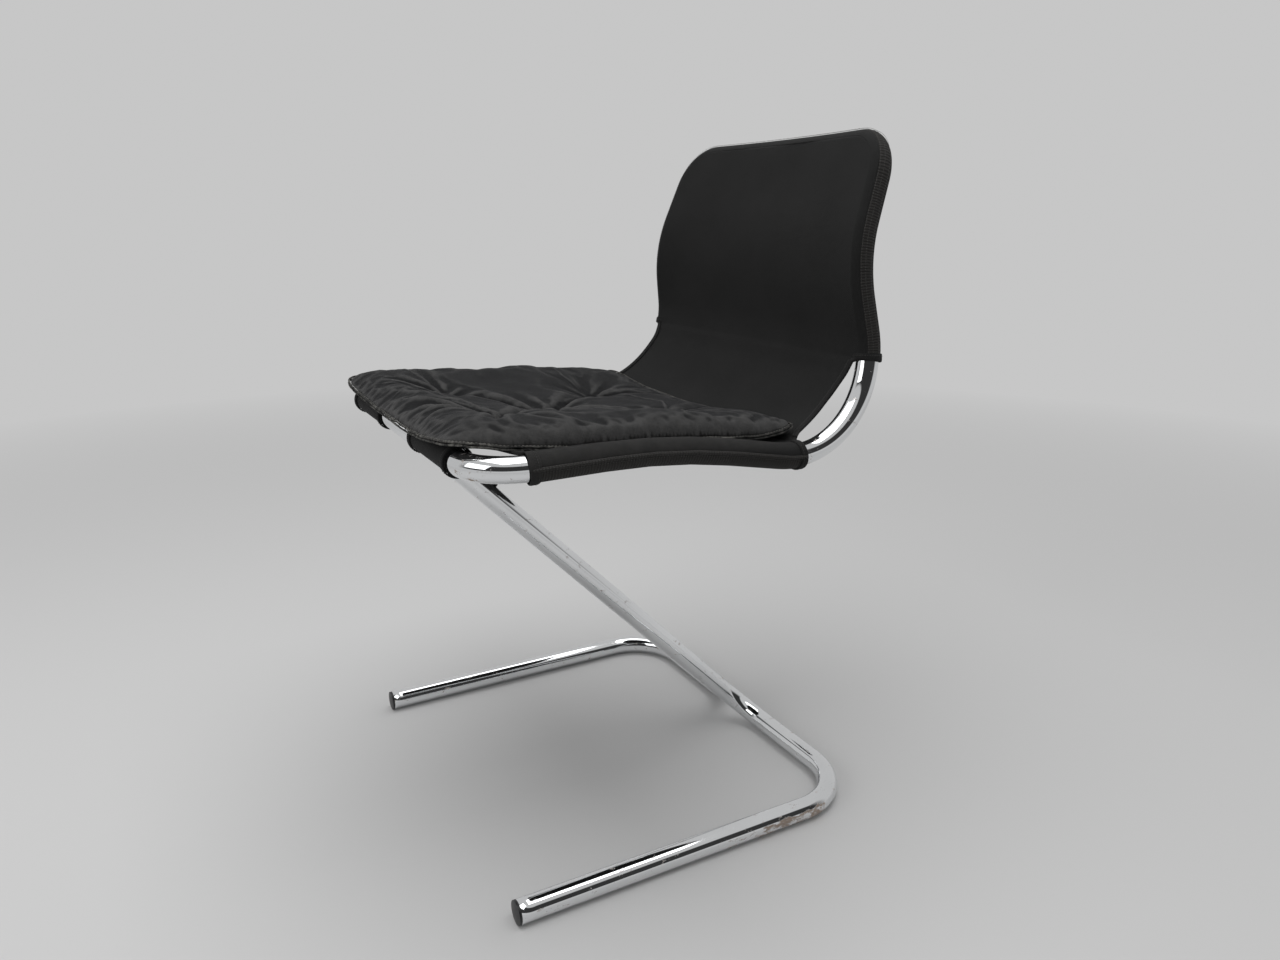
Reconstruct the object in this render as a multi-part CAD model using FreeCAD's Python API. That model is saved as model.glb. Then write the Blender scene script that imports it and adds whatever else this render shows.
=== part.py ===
import FreeCAD, Part
import math
import os

# A cantilever chair: a bent tube frame of two mirrored halves, a cloth sling
# with tunnels round the tubes, and a loose tufted seat pad.
# Millimetres. +Z is up, -Y is the front, +X is the sitter's left.
# The origin is on the floor, under the middle of the whole chair.

Vector = FreeCAD.Vector

# Search steps along a path
COARSE_STEP = 4.0
FINE_STEP = 0.005
NEAR_ENOUGH = 1.0

# Tube stock
TUBE_R = 12.5
TUBE_WALL = 1.5
BORE_R = TUBE_R - TUBE_WALL

# Base: runners, the cross run at the back and the paired diagonals
RUNNER_FRONT_X = 241.5
RUNNER_REAR_X = 244.5
RUNNER_FRONT_Y = -234.5
CROSS_Y = 198.5
RUNNER_BEND_R = 75.0
BASE_BEND_R = 50.0

# Seat loop: front rail, side rails, rear bends, uprights and top rail
FRONT_RAIL_Y = -246.5
FRONT_RAIL_Z = 461.3
FRONT_CORNER_X = 232.0
FRONT_CORNER_R = 52.0
CREST = Vector(231.0, -52.9, 463.9)
CREST_R = 700.0
REAR_BEND = Vector(229.6, 226.6, 411.3)
REAR_BEND_R = 107.0
LUMBAR = Vector(201.7, 191.4, 633.5)
LUMBAR_R = 166.0
TOP_CORNER = Vector(186.1, 236.7, 756.0)
TOP_CORNER_R = 51.0
TOP_BOW_X = 68.0
TOP_BOW_Y = 253.5
TOP_BOW_R = 940.0

# Plugs, spigot and welds
PLUG_HEAD = 2.6
PLUG_DOME = 1.1
PLUG_STEM = 18.0
PLUG_DOME_X = 0.55
PLUG_DOME_DROP = 0.3
STEM_CLEAR = 0.05
STEM_R = BORE_R - STEM_CLEAR
SPIGOT_LENGTH = 90.0
SPIGOT_WALL = 1.5
BEAD_LENGTH = 38.0
BEAD_STARTS = (70.0, 300.0, 525.0)
BEAD_INNER = 4.0
BEAD_OUTER = 9.0
BEAD_WIDTH = 9.0

# Cloth
CLOTH = 1.2
SLEEVE_GAP = 0.15
SLEEVE_WALL = 1.1
SLEEVE_BORE_R = TUBE_R + SLEEVE_GAP
SLEEVE_R = SLEEVE_BORE_R + SLEEVE_WALL
SIDE_SLEEVE_FRONT_Y = -206.5
SIDE_SLEEVE_REAR_Y = 103.5
FRONT_SLEEVE_INNER_X = 60.0
FRONT_SLEEVE_OUTER_X = 178.0
BACK_SLEEVE_FOOT_Z = 527.0
WELT_R = 1.3
WELT_POINTS = 7
HEM_R = 1.8
SEAM_GAP = 0.1
HEM_ROUNDING = 0.45
LEAST_TURN = 0.02
CORNER_HEM_OUT = 0.2
CORNER_HEM_FORWARD = 1.0
CORNER_HEM_LIFT = 0.6
SEAT_TUCK = 0.2

# Seat cloth: y of each cross section, its half width, and how far its middle hangs
SEAT_SECTIONS = (
    (-251.5, 176.0, 0.5),
    (-242.5, 177.0, 0.6),
    (-230.5, 183.0, 2.5),
    (-217.5, 197.0, 6.0),
    (-205.5, 226.0, 10.0),
    (-177.5, 229.5, 17.0),
    (-142.5, 229.5, 23.0),
    (-92.5, 229.5, 28.0),
    (-32.5, 229.3, 28.0),
    (17.5, 229.0, 25.0),
    (57.5, 228.5, 20.0),
    (101.5, 227.5, 12.0),
)

# Rear curve of the cloth: y, z, slope in degrees, half width and hang
CURVE_SECTIONS = (
    (102.0, 453.8, 4.0, 227.0, 12.0),
    (108.5, 454.8, 12.0, 219.0, 11.6),
    (116.5, 457.5, 23.0, 213.0, 11.0),
    (128.5, 463.6, 31.0, 210.0, 10.0),
    (142.5, 473.2, 38.0, 208.0, 9.0),
    (157.5, 486.5, 46.0, 206.5, 8.0),
    (171.5, 501.5, 56.0, 206.5, 7.2),
    (181.5, 514.5, 67.0, 207.5, 6.6),
    (188.2, 529.2, 86.0, 210.0, 6.0),
)
SEAT_HALF = 229.5
BACK_HANG = 6.0
REAR_PLY_HANG = 1.0
BACK_SHARES = (0.01, 0.25, 0.5, 0.75, 1.0)
BACK_TOP_SLOPE = 70.0
TOP_RAIL_TURN = 0.5
CORNER_LEAD = 4.0
CORNER_FINISH = 3.0
BOW_SHARE = 0.8

# Seat pad
PAD_FRONT_Y = -263.2
PAD_REAR_Y = 111.5
PAD_HALF = 212.5
PAD_WAIST = 4.0
PAD_COVER = 1.2
PAD_CLEAR = 0.4
PAD_SIDE_LOFT = 19.0
PAD_MIDDLE_LOFT = 13.0
PAD_SIDE_HEIGHT = 18.0
PAD_SHOULDER = 15.0
PAD_SIDE_BULGE = 3.0
PAD_BULGE_HEIGHT = 0.55
PAD_SQUARENESS = 6
PAD_SEAM_THICK = 3.2
PAD_STATIONS = 30
PAD_CROWDING = 0.7
PAD_OVERHANG_Z = 471.0
PAD_FRONT_CORNER_R = 34.0
PAD_REAR_CORNER_R = 14.0
PAD_CORNER_LIFT = 6.0
PAD_LIFT_START_Y = -246.0
PAD_LIFT_END_Y = -196.0
PAD_REAR_SINK = 11.0
PAD_SINK_START_Y = -150.0
PAD_SINK_END_Y = 60.0
PAD_REAR_LIFT = 2.5
PAD_REAR_SLOPE = 0.35
PAD_REAR_Y_RISE = 101.5
TUFT_X = 88.0
TUFT_FRONT_Y = -172.5
TUFT_MIDDLE_Y = -79.5
TUFT_REAR_Y = 18.5
TUFT_REACH = 34.0
TUFT_DEPTH = 0.62
CHANNEL_DEPTH = 0.14
CREST_RISE = 6.0
CREST_LEAST = 0.3
LEVEL_ENOUGH = 0.01
THREAD_R = 0.9
THREAD_PROUD = 1.0
BINDING_WIDTH = 4.0
BINDING_THICK = 2.4
BINDING_GAP = 0.05

# Webbing tabs under the front corners
TAB_WIDTH = 12.0
TAB_THICK = 2.0
TAB_GAP = 0.2
TAB_LENGTH = 24.0
TAB_X = 196.0
TAB_Y = -224.5
TAB_TOP_Z = 468.0


class BentPath:
    """A centre line of straight runs joined by tangent arcs."""

    def __init__(self, corners):
        self.edges = []
        start = corners[0][0]
        for index in range(1, len(corners) - 1):
            before = corners[index - 1][0]
            corner, radius = corners[index]
            after = corners[index + 1][0]
            back = (before - corner).normalize()
            ahead = (after - corner).normalize()
            half = back.getAngle(ahead) / 2.0
            trim = radius / math.tan(half)
            middle = (back + ahead).normalize()
            centre = corner + middle * (radius / math.sin(half))
            arc_start = corner + back * trim
            arc_end = corner + ahead * trim
            arc_top = centre - middle * radius
            if start.distanceToPoint(arc_start) > 1e-6:
                self.edges.append(Part.LineSegment(start, arc_start).toShape())
            self.edges.append(Part.Arc(arc_start, arc_top, arc_end).toShape())
            start = arc_end
        self.edges.append(Part.LineSegment(start, corners[-1][0]).toShape())
        self.length = sum(edge.Length for edge in self.edges)

    def place(self, distance):
        """The edge at a distance along the path, and the distance left inside it."""
        for edge in self.edges:
            if distance <= edge.Length:
                return edge, distance
            distance -= edge.Length
        return self.edges[-1], self.edges[-1].Length

    def point(self, distance):
        edge, inside = self.place(distance)
        return edge.valueAt(edge.getParameterByLength(inside))

    def tangent(self, distance):
        edge, inside = self.place(distance)
        return edge.tangentAt(edge.getParameterByLength(inside))

    def where(self, test, after=0.0):
        """The first distance past 'after' at which the test holds."""
        distance = after
        while distance < self.length and not test(self.point(distance)):
            distance += COARSE_STEP
        step = COARSE_STEP / 2.0
        while step > FINE_STEP:
            distance += -step if test(self.point(distance)) else step
            step /= 2.0
        return min(distance, self.length)

    def stretch(self, start, end):
        """The wire between two distances, cut from the same runs and arcs."""
        pieces = []
        passed = 0.0
        for edge in self.edges:
            low = max(start - passed, 0.0)
            high = min(end - passed, edge.Length)
            if high - low > 1e-4:
                a = edge.valueAt(edge.getParameterByLength(low))
                b = edge.valueAt(edge.getParameterByLength(high))
                if edge.Curve.TypeId == "Part::GeomLine":
                    pieces.append(Part.LineSegment(a, b).toShape())
                else:
                    middle = edge.valueAt(edge.getParameterByLength((low + high) / 2.0))
                    pieces.append(Part.Arc(a, middle, b).toShape())
            passed += edge.Length
        return Part.Wire(pieces)


def run_or_bend(edge, radii):
    """One straight or bent length of a bar or tube, round the given edge of its path."""
    start = edge.valueAt(edge.FirstParameter)
    along = edge.tangentAt(edge.FirstParameter)
    discs = [Part.Face(Part.Wire(Part.makeCircle(radius, start, along))) for radius in radii]
    face = discs[0].cut(discs[1]).Faces[0] if len(discs) > 1 else discs[0]
    if edge.Curve.TypeId == "Part::GeomLine":
        return face.extrude(along * edge.Length)
    turn = math.degrees(edge.Length / edge.Curve.Radius)
    axis = (start - edge.Curve.Center).cross(along)
    return face.revolve(edge.Curve.Center, axis, turn)


def bar(path, start, end, radii):
    """A round bar, or with two radii a tube, along part of a path."""
    lengths = [run_or_bend(edge, radii) for edge in path.stretch(start, end).Edges]
    return lengths[0].multiFuse(lengths[1:]) if len(lengths) > 1 else lengths[0]


def pipe(path, start, end, outer, inner):
    """A round tube along part of a path, with its section times its length checked."""
    shape = bar(path, start, end, (outer, inner))
    expected = math.pi * (outer ** 2 - inner ** 2) * (end - start)
    print("tube volume against section times length: %.4f" % (shape.Volume / expected))
    return shape


def mirrored(shape):
    return shape.mirror(Vector(0, 0, 0), Vector(1, 0, 0))


def frame_path():
    """The left half of the frame, from the runner's front end to the top rail's middle."""
    along = Vector(RUNNER_REAR_X - RUNNER_FRONT_X, CROSS_Y - RUNNER_FRONT_Y, 0).normalize()
    front_end = Vector(RUNNER_FRONT_X, RUNNER_FRONT_Y, TUBE_R) + along * (PLUG_HEAD + PLUG_DOME)
    return BentPath((
        (front_end, 0.0),
        (Vector(RUNNER_REAR_X, CROSS_Y, TUBE_R), RUNNER_BEND_R),
        (Vector(TUBE_R, CROSS_Y, TUBE_R), BASE_BEND_R),
        (Vector(TUBE_R, FRONT_RAIL_Y, FRONT_RAIL_Z), BASE_BEND_R),
        (Vector(FRONT_CORNER_X, FRONT_RAIL_Y, FRONT_RAIL_Z), FRONT_CORNER_R),
        (CREST, CREST_R),
        (REAR_BEND, REAR_BEND_R),
        (LUMBAR, LUMBAR_R),
        (TOP_CORNER, TOP_CORNER_R),
        (Vector(TOP_BOW_X, TOP_BOW_Y, TOP_CORNER.z), TOP_BOW_R),
        (Vector(0, TOP_BOW_Y, TOP_CORNER.z), 0.0),
    ))


def end_plug(path):
    """A plug with a low domed head, as wide as the tube, and a stem inside its bore."""
    crown = PLUG_HEAD + PLUG_DOME
    shoulder = Vector(TUBE_R * PLUG_DOME_X, 0, crown - PLUG_DOME * PLUG_DOME_DROP)
    profile = Part.Wire([
        Part.Arc(Vector(0, 0, crown), shoulder, Vector(TUBE_R, 0, PLUG_HEAD)).toShape(),
        Part.makeLine(Vector(TUBE_R, 0, PLUG_HEAD), Vector(TUBE_R, 0, 0)),
        Part.makeLine(Vector(TUBE_R, 0, 0), Vector(STEM_R, 0, 0)),
        Part.makeLine(Vector(STEM_R, 0, 0), Vector(STEM_R, 0, -PLUG_STEM)),
        Part.makeLine(Vector(STEM_R, 0, -PLUG_STEM), Vector(0, 0, -PLUG_STEM)),
        Part.makeLine(Vector(0, 0, -PLUG_STEM), Vector(0, 0, crown)),
    ])
    plug = Part.Face(profile).revolve(Vector(0, 0, 0), Vector(0, 0, 1), 360)
    turn = FreeCAD.Rotation(Vector(0, 0, 1), path.tangent(0.0) * -1)
    plug.Placement = FreeCAD.Placement(path.point(0.0), turn)
    return plug


def weld_beads(path, side):
    """Short beads in the groove between the paired diagonals, above or below it."""
    foot = Vector(0, CROSS_Y, TUBE_R)
    along = (Vector(0, FRONT_RAIL_Y, FRONT_RAIL_Z) - foot).normalize()
    across = Vector(0, along.z, -along.y) * side
    run = foot.distanceToPoint(Vector(0, FRONT_RAIL_Y, FRONT_RAIL_Z))
    tube = Part.makeCylinder(TUBE_R, run, foot + Vector(TUBE_R, 0, 0), along)
    tubes = tube.fuse(mirrored(tube))
    beads = []
    for start in BEAD_STARTS:
        low = foot + along * start + across * BEAD_INNER
        corners = [
            low - Vector(BEAD_WIDTH / 2.0, 0, 0),
            low + Vector(BEAD_WIDTH / 2.0, 0, 0),
            low + Vector(BEAD_WIDTH / 2.0, 0, 0) + across * (BEAD_OUTER - BEAD_INNER),
            low - Vector(BEAD_WIDTH / 2.0, 0, 0) + across * (BEAD_OUTER - BEAD_INNER),
        ]
        face = Part.Face(Part.makePolygon(corners + corners[:1]))
        beads.append(face.extrude(along * BEAD_LENGTH).cut(tubes))
    return Part.makeCompound([solid for bead in beads for solid in bead.Solids])


def rail_point(path, y):
    """The side rail's centre at a given y."""
    rail_x = FRONT_CORNER_X - NEAR_ENOUGH
    past_front = path.where(lambda p: p.z > FRONT_RAIL_Z - NEAR_ENOUGH and p.x > rail_x)
    return path.point(path.where(lambda p: p.y >= y, past_front))


def cloth_section(y, z, slope, half, hang):
    """A thin closed section across the chair: two arcs that hang between two short ends."""
    angle = math.radians(slope)
    up = Vector(0, -math.sin(angle), math.cos(angle))
    edges = []
    for lift in (0.0, CLOTH):
        middle = Vector(0, y, z) + up * lift
        left = middle + Vector(half, 0, 0)
        right = middle - Vector(half, 0, 0)
        edges.append((left, middle - up * hang, right))
    (low_left, low_mid, low_right), (top_left, top_mid, top_right) = edges
    return Part.Wire([
        Part.Arc(low_left, low_mid, low_right).toShape(),
        Part.makeLine(low_right, top_right),
        Part.Arc(top_right, top_mid, top_left).toShape(),
        Part.makeLine(top_left, low_left),
    ])


def seat_level(path, y):
    """The height at which the seat cloth leaves the tube, at a given y."""
    if y < SIDE_SLEEVE_FRONT_Y:
        return FRONT_RAIL_Z + SLEEVE_R
    return rail_point(path, y).z + SLEEVE_R - SEAT_TUCK


def seat_panel(path):
    sections = []
    for y, half, hang in SEAT_SECTIONS:
        sections.append(cloth_section(y, seat_level(path, y), 0.0, half, hang))
    return Part.makeLoft(sections, True, True)


def seat_hang(y):
    """How far the seat cloth's middle hangs at y, between the given sections."""
    for (y0, _, hang0), (y1, _, hang1) in zip(SEAT_SECTIONS, SEAT_SECTIONS[1:]):
        if y0 <= y <= y1:
            return hang0 + (hang1 - hang0) * (y - y0) / (y1 - y0)
    return SEAT_SECTIONS[0][2] if y < SEAT_SECTIONS[0][0] else SEAT_SECTIONS[-1][2]


def rear_curve_panel():
    return Part.makeLoft([cloth_section(*values) for values in CURVE_SECTIONS], True, True)


def back_ply(path, distances, offset, hang):
    """One ply of the back, laid on the sitter's side of the tubes or behind them."""
    sections = []
    for distance in distances:
        point = path.point(distance)
        slope = BACK_TOP_SLOPE
        tangent = path.tangent(distance)
        if abs(tangent.x) < TOP_RAIL_TURN:
            slope = math.degrees(math.atan2(tangent.z, tangent.y))
        angle = math.radians(slope)
        up = Vector(0, -math.sin(angle), math.cos(angle))
        rise = (point.z - BACK_SLEEVE_FOOT_Z) / (TOP_CORNER.z - BACK_SLEEVE_FOOT_Z)
        bow = (TOP_BOW_Y - TOP_CORNER.y) * BOW_SHARE * max(rise, 0.0) ** 2
        middle = Vector(0, point.y, point.z) + up * offset
        sections.append(cloth_section(middle.y, middle.z, slope, point.x, hang + bow))
    return Part.makeLoft(sections, True, True)


def pad_edge_share(y):
    """Thickness share from the pad's front and rear seams, 0 to its middle, 1."""
    middle = (PAD_FRONT_Y + PAD_REAR_Y) / 2.0
    u = (y - middle) / ((PAD_REAR_Y - PAD_FRONT_Y) / 2.0)
    return math.sqrt(max(1.0 - u ** PAD_SQUARENESS, 0.0))


def ramp(value, start, end):
    """0 before the start, 1 past the end, and even between them."""
    return min(max((value - start) / (end - start), 0.0), 1.0)


def corner_trim(y):
    """How far the rounded corners draw the pad's side in at y."""
    trim = 0.0
    for distance, radius in ((y - PAD_FRONT_Y, PAD_FRONT_CORNER_R), (PAD_REAR_Y - y, PAD_REAR_CORNER_R)):
        if distance < radius:
            trim += radius - math.sqrt(radius ** 2 - (radius - distance) ** 2)
    return trim


def tuft_share(y, rows):
    """How strongly the tufts of the given rows pull the top down at y."""
    pull = max(math.exp(-((y - row) / TUFT_REACH) ** 2) for row in rows)
    return CHANNEL_DEPTH + (TUFT_DEPTH - CHANNEL_DEPTH) * pull


def pad_floor(path, x, y):
    """The top of the seat cloth under the pad, or the nose that hangs past the front rail."""
    rail_top = FRONT_RAIL_Z + SLEEVE_R + CLOTH
    if y < FRONT_RAIL_Y:
        past = (FRONT_RAIL_Y - y) / (FRONT_RAIL_Y - PAD_FRONT_Y)
        return rail_top + (PAD_OVERHANG_Z - rail_top) * past ** 2
    if y > PAD_REAR_Y_RISE:
        _, level, _, half, hang = CURVE_SECTIONS[0]
        level += PAD_REAR_LIFT + (y - SIDE_SLEEVE_REAR_Y) * PAD_REAR_SLOPE
    else:
        level, half, hang = seat_level(path, y), SEAT_HALF, seat_hang(y)
    return level + CLOTH - hang * (1.0 - (x / half) ** 2)


def pad_section(path, y, inset):
    """Points of the pad's section at y: bottom, sides and top, 'inset' inside its surface."""
    share = pad_edge_share(y)
    half = PAD_HALF - PAD_WAIST * share - corner_trim(y) - inset
    sink = PAD_REAR_SINK * ramp(y, PAD_SINK_START_Y, PAD_SINK_END_Y)
    lift = PAD_CORNER_LIFT * ramp(-y, -PAD_LIFT_END_Y, -PAD_LIFT_START_Y)

    def floor_z(x):
        return pad_floor(path, x, y) + PAD_CLEAR + lift * (x / half) ** 2

    def top_z(x, rows):
        loft = PAD_MIDDLE_LOFT + (PAD_SIDE_LOFT - PAD_MIDDLE_LOFT) * (x / half) ** 2 - sink
        full = floor_z(half) - PAD_CLEAR + loft - floor_z(x)
        full = PAD_SEAM_THICK + (full - PAD_SEAM_THICK) * share
        return floor_z(x) + full * (1.0 - tuft_share(y, rows)) - inset

    seam_z = floor_z(half) + PAD_SEAM_THICK / 2.0
    bottom_z = floor_z(0.0) + inset
    side = (PAD_SIDE_HEIGHT - sink) * share - inset + PAD_SEAM_THICK / 2.0

    outer_rows = (TUFT_FRONT_Y, TUFT_REAR_Y)
    valleys = [
        Vector(half - PAD_SHOULDER, y, seam_z + side),
        Vector(TUFT_X, y, top_z(TUFT_X, outer_rows)),
        Vector(0, y, top_z(0.0, (TUFT_MIDDLE_Y,))),
    ]
    valleys += [Vector(-p.x, p.y, p.z) for p in reversed(valleys[:2])]
    side_mid = Vector(half - PAD_SIDE_BULGE, y, seam_z + side * PAD_BULGE_HEIGHT)
    return {
        "left_seam": Vector(half, y, seam_z),
        "right_seam": Vector(-half, y, seam_z),
        "left_side": side_mid,
        "right_side": Vector(-side_mid.x, y, side_mid.z),
        "bottom": Vector(0, y, bottom_z),
        "valleys": valleys,
        "rise": CREST_RISE * share + CREST_LEAST,
    }


def arc_or_line(start, middle, end):
    """An arc through three points, or a line where they lie in line."""
    if abs(middle.z - (start.z + end.z) / 2.0) < LEVEL_ENOUGH:
        return Part.makeLine(start, end)
    return Part.Arc(start, middle, end).toShape()


def top_edges(section):
    """Arcs over the pad from its left seam to its right seam."""
    edges = [Part.Arc(section["left_seam"], section["left_side"], section["valleys"][0]).toShape()]
    for a, b in zip(section["valleys"], section["valleys"][1:]):
        crest = (a + b) * 0.5 + Vector(0, 0, section["rise"])
        edges.append(Part.Arc(a, crest, b).toShape())
    edges.append(Part.Arc(section["valleys"][-1], section["right_side"], section["right_seam"]).toShape())
    return edges


def bottom_edge(section):
    """The arc under the pad, from its right seam to its left seam."""
    return arc_or_line(section["right_seam"], section["bottom"], section["left_seam"])


def pad_stations():
    """Section places along the pad, closer together at its front and rear seams."""
    middle = (PAD_FRONT_Y + PAD_REAR_Y) / 2.0
    reach = (PAD_REAR_Y - PAD_FRONT_Y) / 2.0
    turns = [math.pi * i / PAD_STATIONS for i in range(PAD_STATIONS + 1)]
    even = 1.0 - PAD_CROWDING
    return [middle - reach * (PAD_CROWDING * math.cos(t) + even * (1.0 - 2.0 * t / math.pi)) for t in turns]


def seat_pad(path):
    """Top cover, filling and bottom cover, which share their faces."""
    outer = [pad_section(path, y, 0.0) for y in pad_stations()]
    inner = [pad_section(path, y, PAD_COVER) for y in pad_stations()]
    top_wires = []
    bottom_wires = []
    filling_wires = []
    for out, inn in zip(outer, inner):
        left_lip = Part.makeLine(out["left_seam"], inn["left_seam"])
        right_lip = Part.makeLine(out["right_seam"], inn["right_seam"])
        top_wires.append(Part.Wire(Part.sortEdges(
            top_edges(out) + [right_lip] + top_edges(inn) + [left_lip])[0]))
        bottom_wires.append(Part.Wire(Part.sortEdges(
            [bottom_edge(out), left_lip, bottom_edge(inn), right_lip])[0]))
        filling_wires.append(Part.Wire(top_edges(inn) + [bottom_edge(inn)]))
    top_cover = Part.makeLoft(top_wires, True, True)
    bottom_cover = Part.makeLoft(bottom_wires, True, True)
    filling = Part.makeLoft(filling_wires[1:-1], True, True)
    return top_cover, filling, bottom_cover


def tuft_places():
    places = [(0.0, TUFT_MIDDLE_Y)]
    for x in (-TUFT_X, TUFT_X):
        for y in (TUFT_FRONT_Y, TUFT_REAR_Y):
            places.append((x, y))
    return places


def tuft_threads(path):
    """The stitched threads that tie the top of the pad down at each tuft."""
    threads = []
    for x, y in tuft_places():
        section = pad_section(path, y, 0.0)
        top = min((p for p in section["valleys"]), key=lambda p: abs(p.x - x)).z
        low = pad_floor(path, x, y) + PAD_CLEAR
        threads.append(Part.makeCylinder(THREAD_R, top + THREAD_PROUD - low, Vector(x, y, low)))
    return threads


def pad_binding(path):
    """The flat sewn edge that stands out all round the pad's seam."""
    stations = pad_stations()
    strips = []
    for side in (1.0, -1.0):
        wires = []
        for y in stations:
            seam = pad_section(path, y, 0.0)["left_seam"]
            inner = seam.x + BINDING_GAP
            corners = [
                Vector(side * inner, y, seam.z - BINDING_THICK / 2.0),
                Vector(side * (inner + BINDING_WIDTH), y, seam.z - BINDING_THICK / 2.0),
                Vector(side * (inner + BINDING_WIDTH), y, seam.z + BINDING_THICK / 2.0),
                Vector(side * inner, y, seam.z + BINDING_THICK / 2.0),
            ]
            wires.append(Part.makePolygon(corners + corners[:1]))
        strips.append(Part.makeLoft(wires, True, True))
    for y, outward in ((stations[0], -1.0), (stations[-1], 1.0)):
        wires = []
        for place in (y + outward * BINDING_GAP, y + outward * BINDING_WIDTH):
            section = pad_section(path, y, 0.0)
            reach = section["left_seam"].x + BINDING_WIDTH
            half_thick = Vector(0, 0, BINDING_THICK / 2.0)
            left = Vector(reach, place, section["left_seam"].z)
            right = Vector(-reach, place, section["left_seam"].z)
            middle = Vector(0, place, section["bottom"].z + PAD_SEAM_THICK / 2.0)
            wires.append(Part.Wire([
                arc_or_line(left - half_thick, middle - half_thick, right - half_thick),
                Part.makeLine(right - half_thick, right + half_thick),
                arc_or_line(right + half_thick, middle + half_thick, left + half_thick),
                Part.makeLine(left + half_thick, left - half_thick),
            ]))
        strips.append(Part.makeLoft(wires, True, True))
    return Part.makeCompound(strips)


def edge_hem(points, radius):
    """A rolled hem along a free edge of the cloth."""
    corners = [(points[0], 0.0)]
    for before, point, after in zip(points, points[1:], points[2:]):
        turn = math.pi - (before - point).getAngle(after - point)
        shorter = min(before.distanceToPoint(point), after.distanceToPoint(point))
        corners.append((point, HEM_ROUNDING * shorter / math.tan(max(turn, LEAST_TURN) / 2.0)))
    corners.append((points[-1], 0.0))
    path = BentPath(corners)
    return bar(path, 0.0, path.length, (radius,))


def curve_hem_points():
    """Points just outside the rear curve's free left edge."""
    points = []
    for y, z, slope, half, _ in CURVE_SECTIONS:
        angle = math.radians(slope)
        up = Vector(0, -math.sin(angle), math.cos(angle))
        points.append(Vector(half + HEM_R + SEAM_GAP, y, z) + up * (CLOTH / 2.0))
    return points


def corner_hem_points(path):
    """Points just outside the seat cloth's cut left front corner."""
    points = []
    for y, half, _ in SEAT_SECTIONS[1:4]:
        out = half + HEM_R + CORNER_HEM_OUT
        level = seat_level(path, y) + CLOTH / 2.0 + CORNER_HEM_LIFT
        points.append(Vector(out, y - CORNER_HEM_FORWARD, level))
    return points


def corner_tab():
    """A folded webbing tab that hangs under the sling's left front corner."""
    plies = []
    for offset in (0.0, TAB_THICK + TAB_GAP):
        plies.append(Part.makeBox(TAB_WIDTH, TAB_THICK, TAB_LENGTH,
                                  Vector(TAB_X, TAB_Y + offset, TAB_TOP_Z - TAB_LENGTH)))
    fold = Part.makeBox(TAB_WIDTH, 2 * TAB_THICK + TAB_GAP, TAB_THICK,
                        Vector(TAB_X, TAB_Y, TAB_TOP_Z - TAB_LENGTH - TAB_THICK))
    return plies[0].fuse(plies[1]).fuse(fold).removeSplitter()


def save(name, shape):
    for index, solid in enumerate(shape.Solids):
        if not solid.isValid():
            print("not valid:", name, index)
    box = shape.optimalBoundingBox(False)
    print("%-22s %3d solids %9.1f mm3  x %7.1f %7.1f  y %7.1f %7.1f  z %7.1f %7.1f" % (
        name, len(shape.Solids), shape.Volume,
        box.XMin, box.XMax, box.YMin, box.YMax, box.ZMin, box.ZMax))
    shape.exportStep("parts/%s.step" % name)
    return box


def save_pair(name, left_shape):
    return [save("left_" + name, left_shape), save("right_" + name, mirrored(left_shape))]


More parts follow.
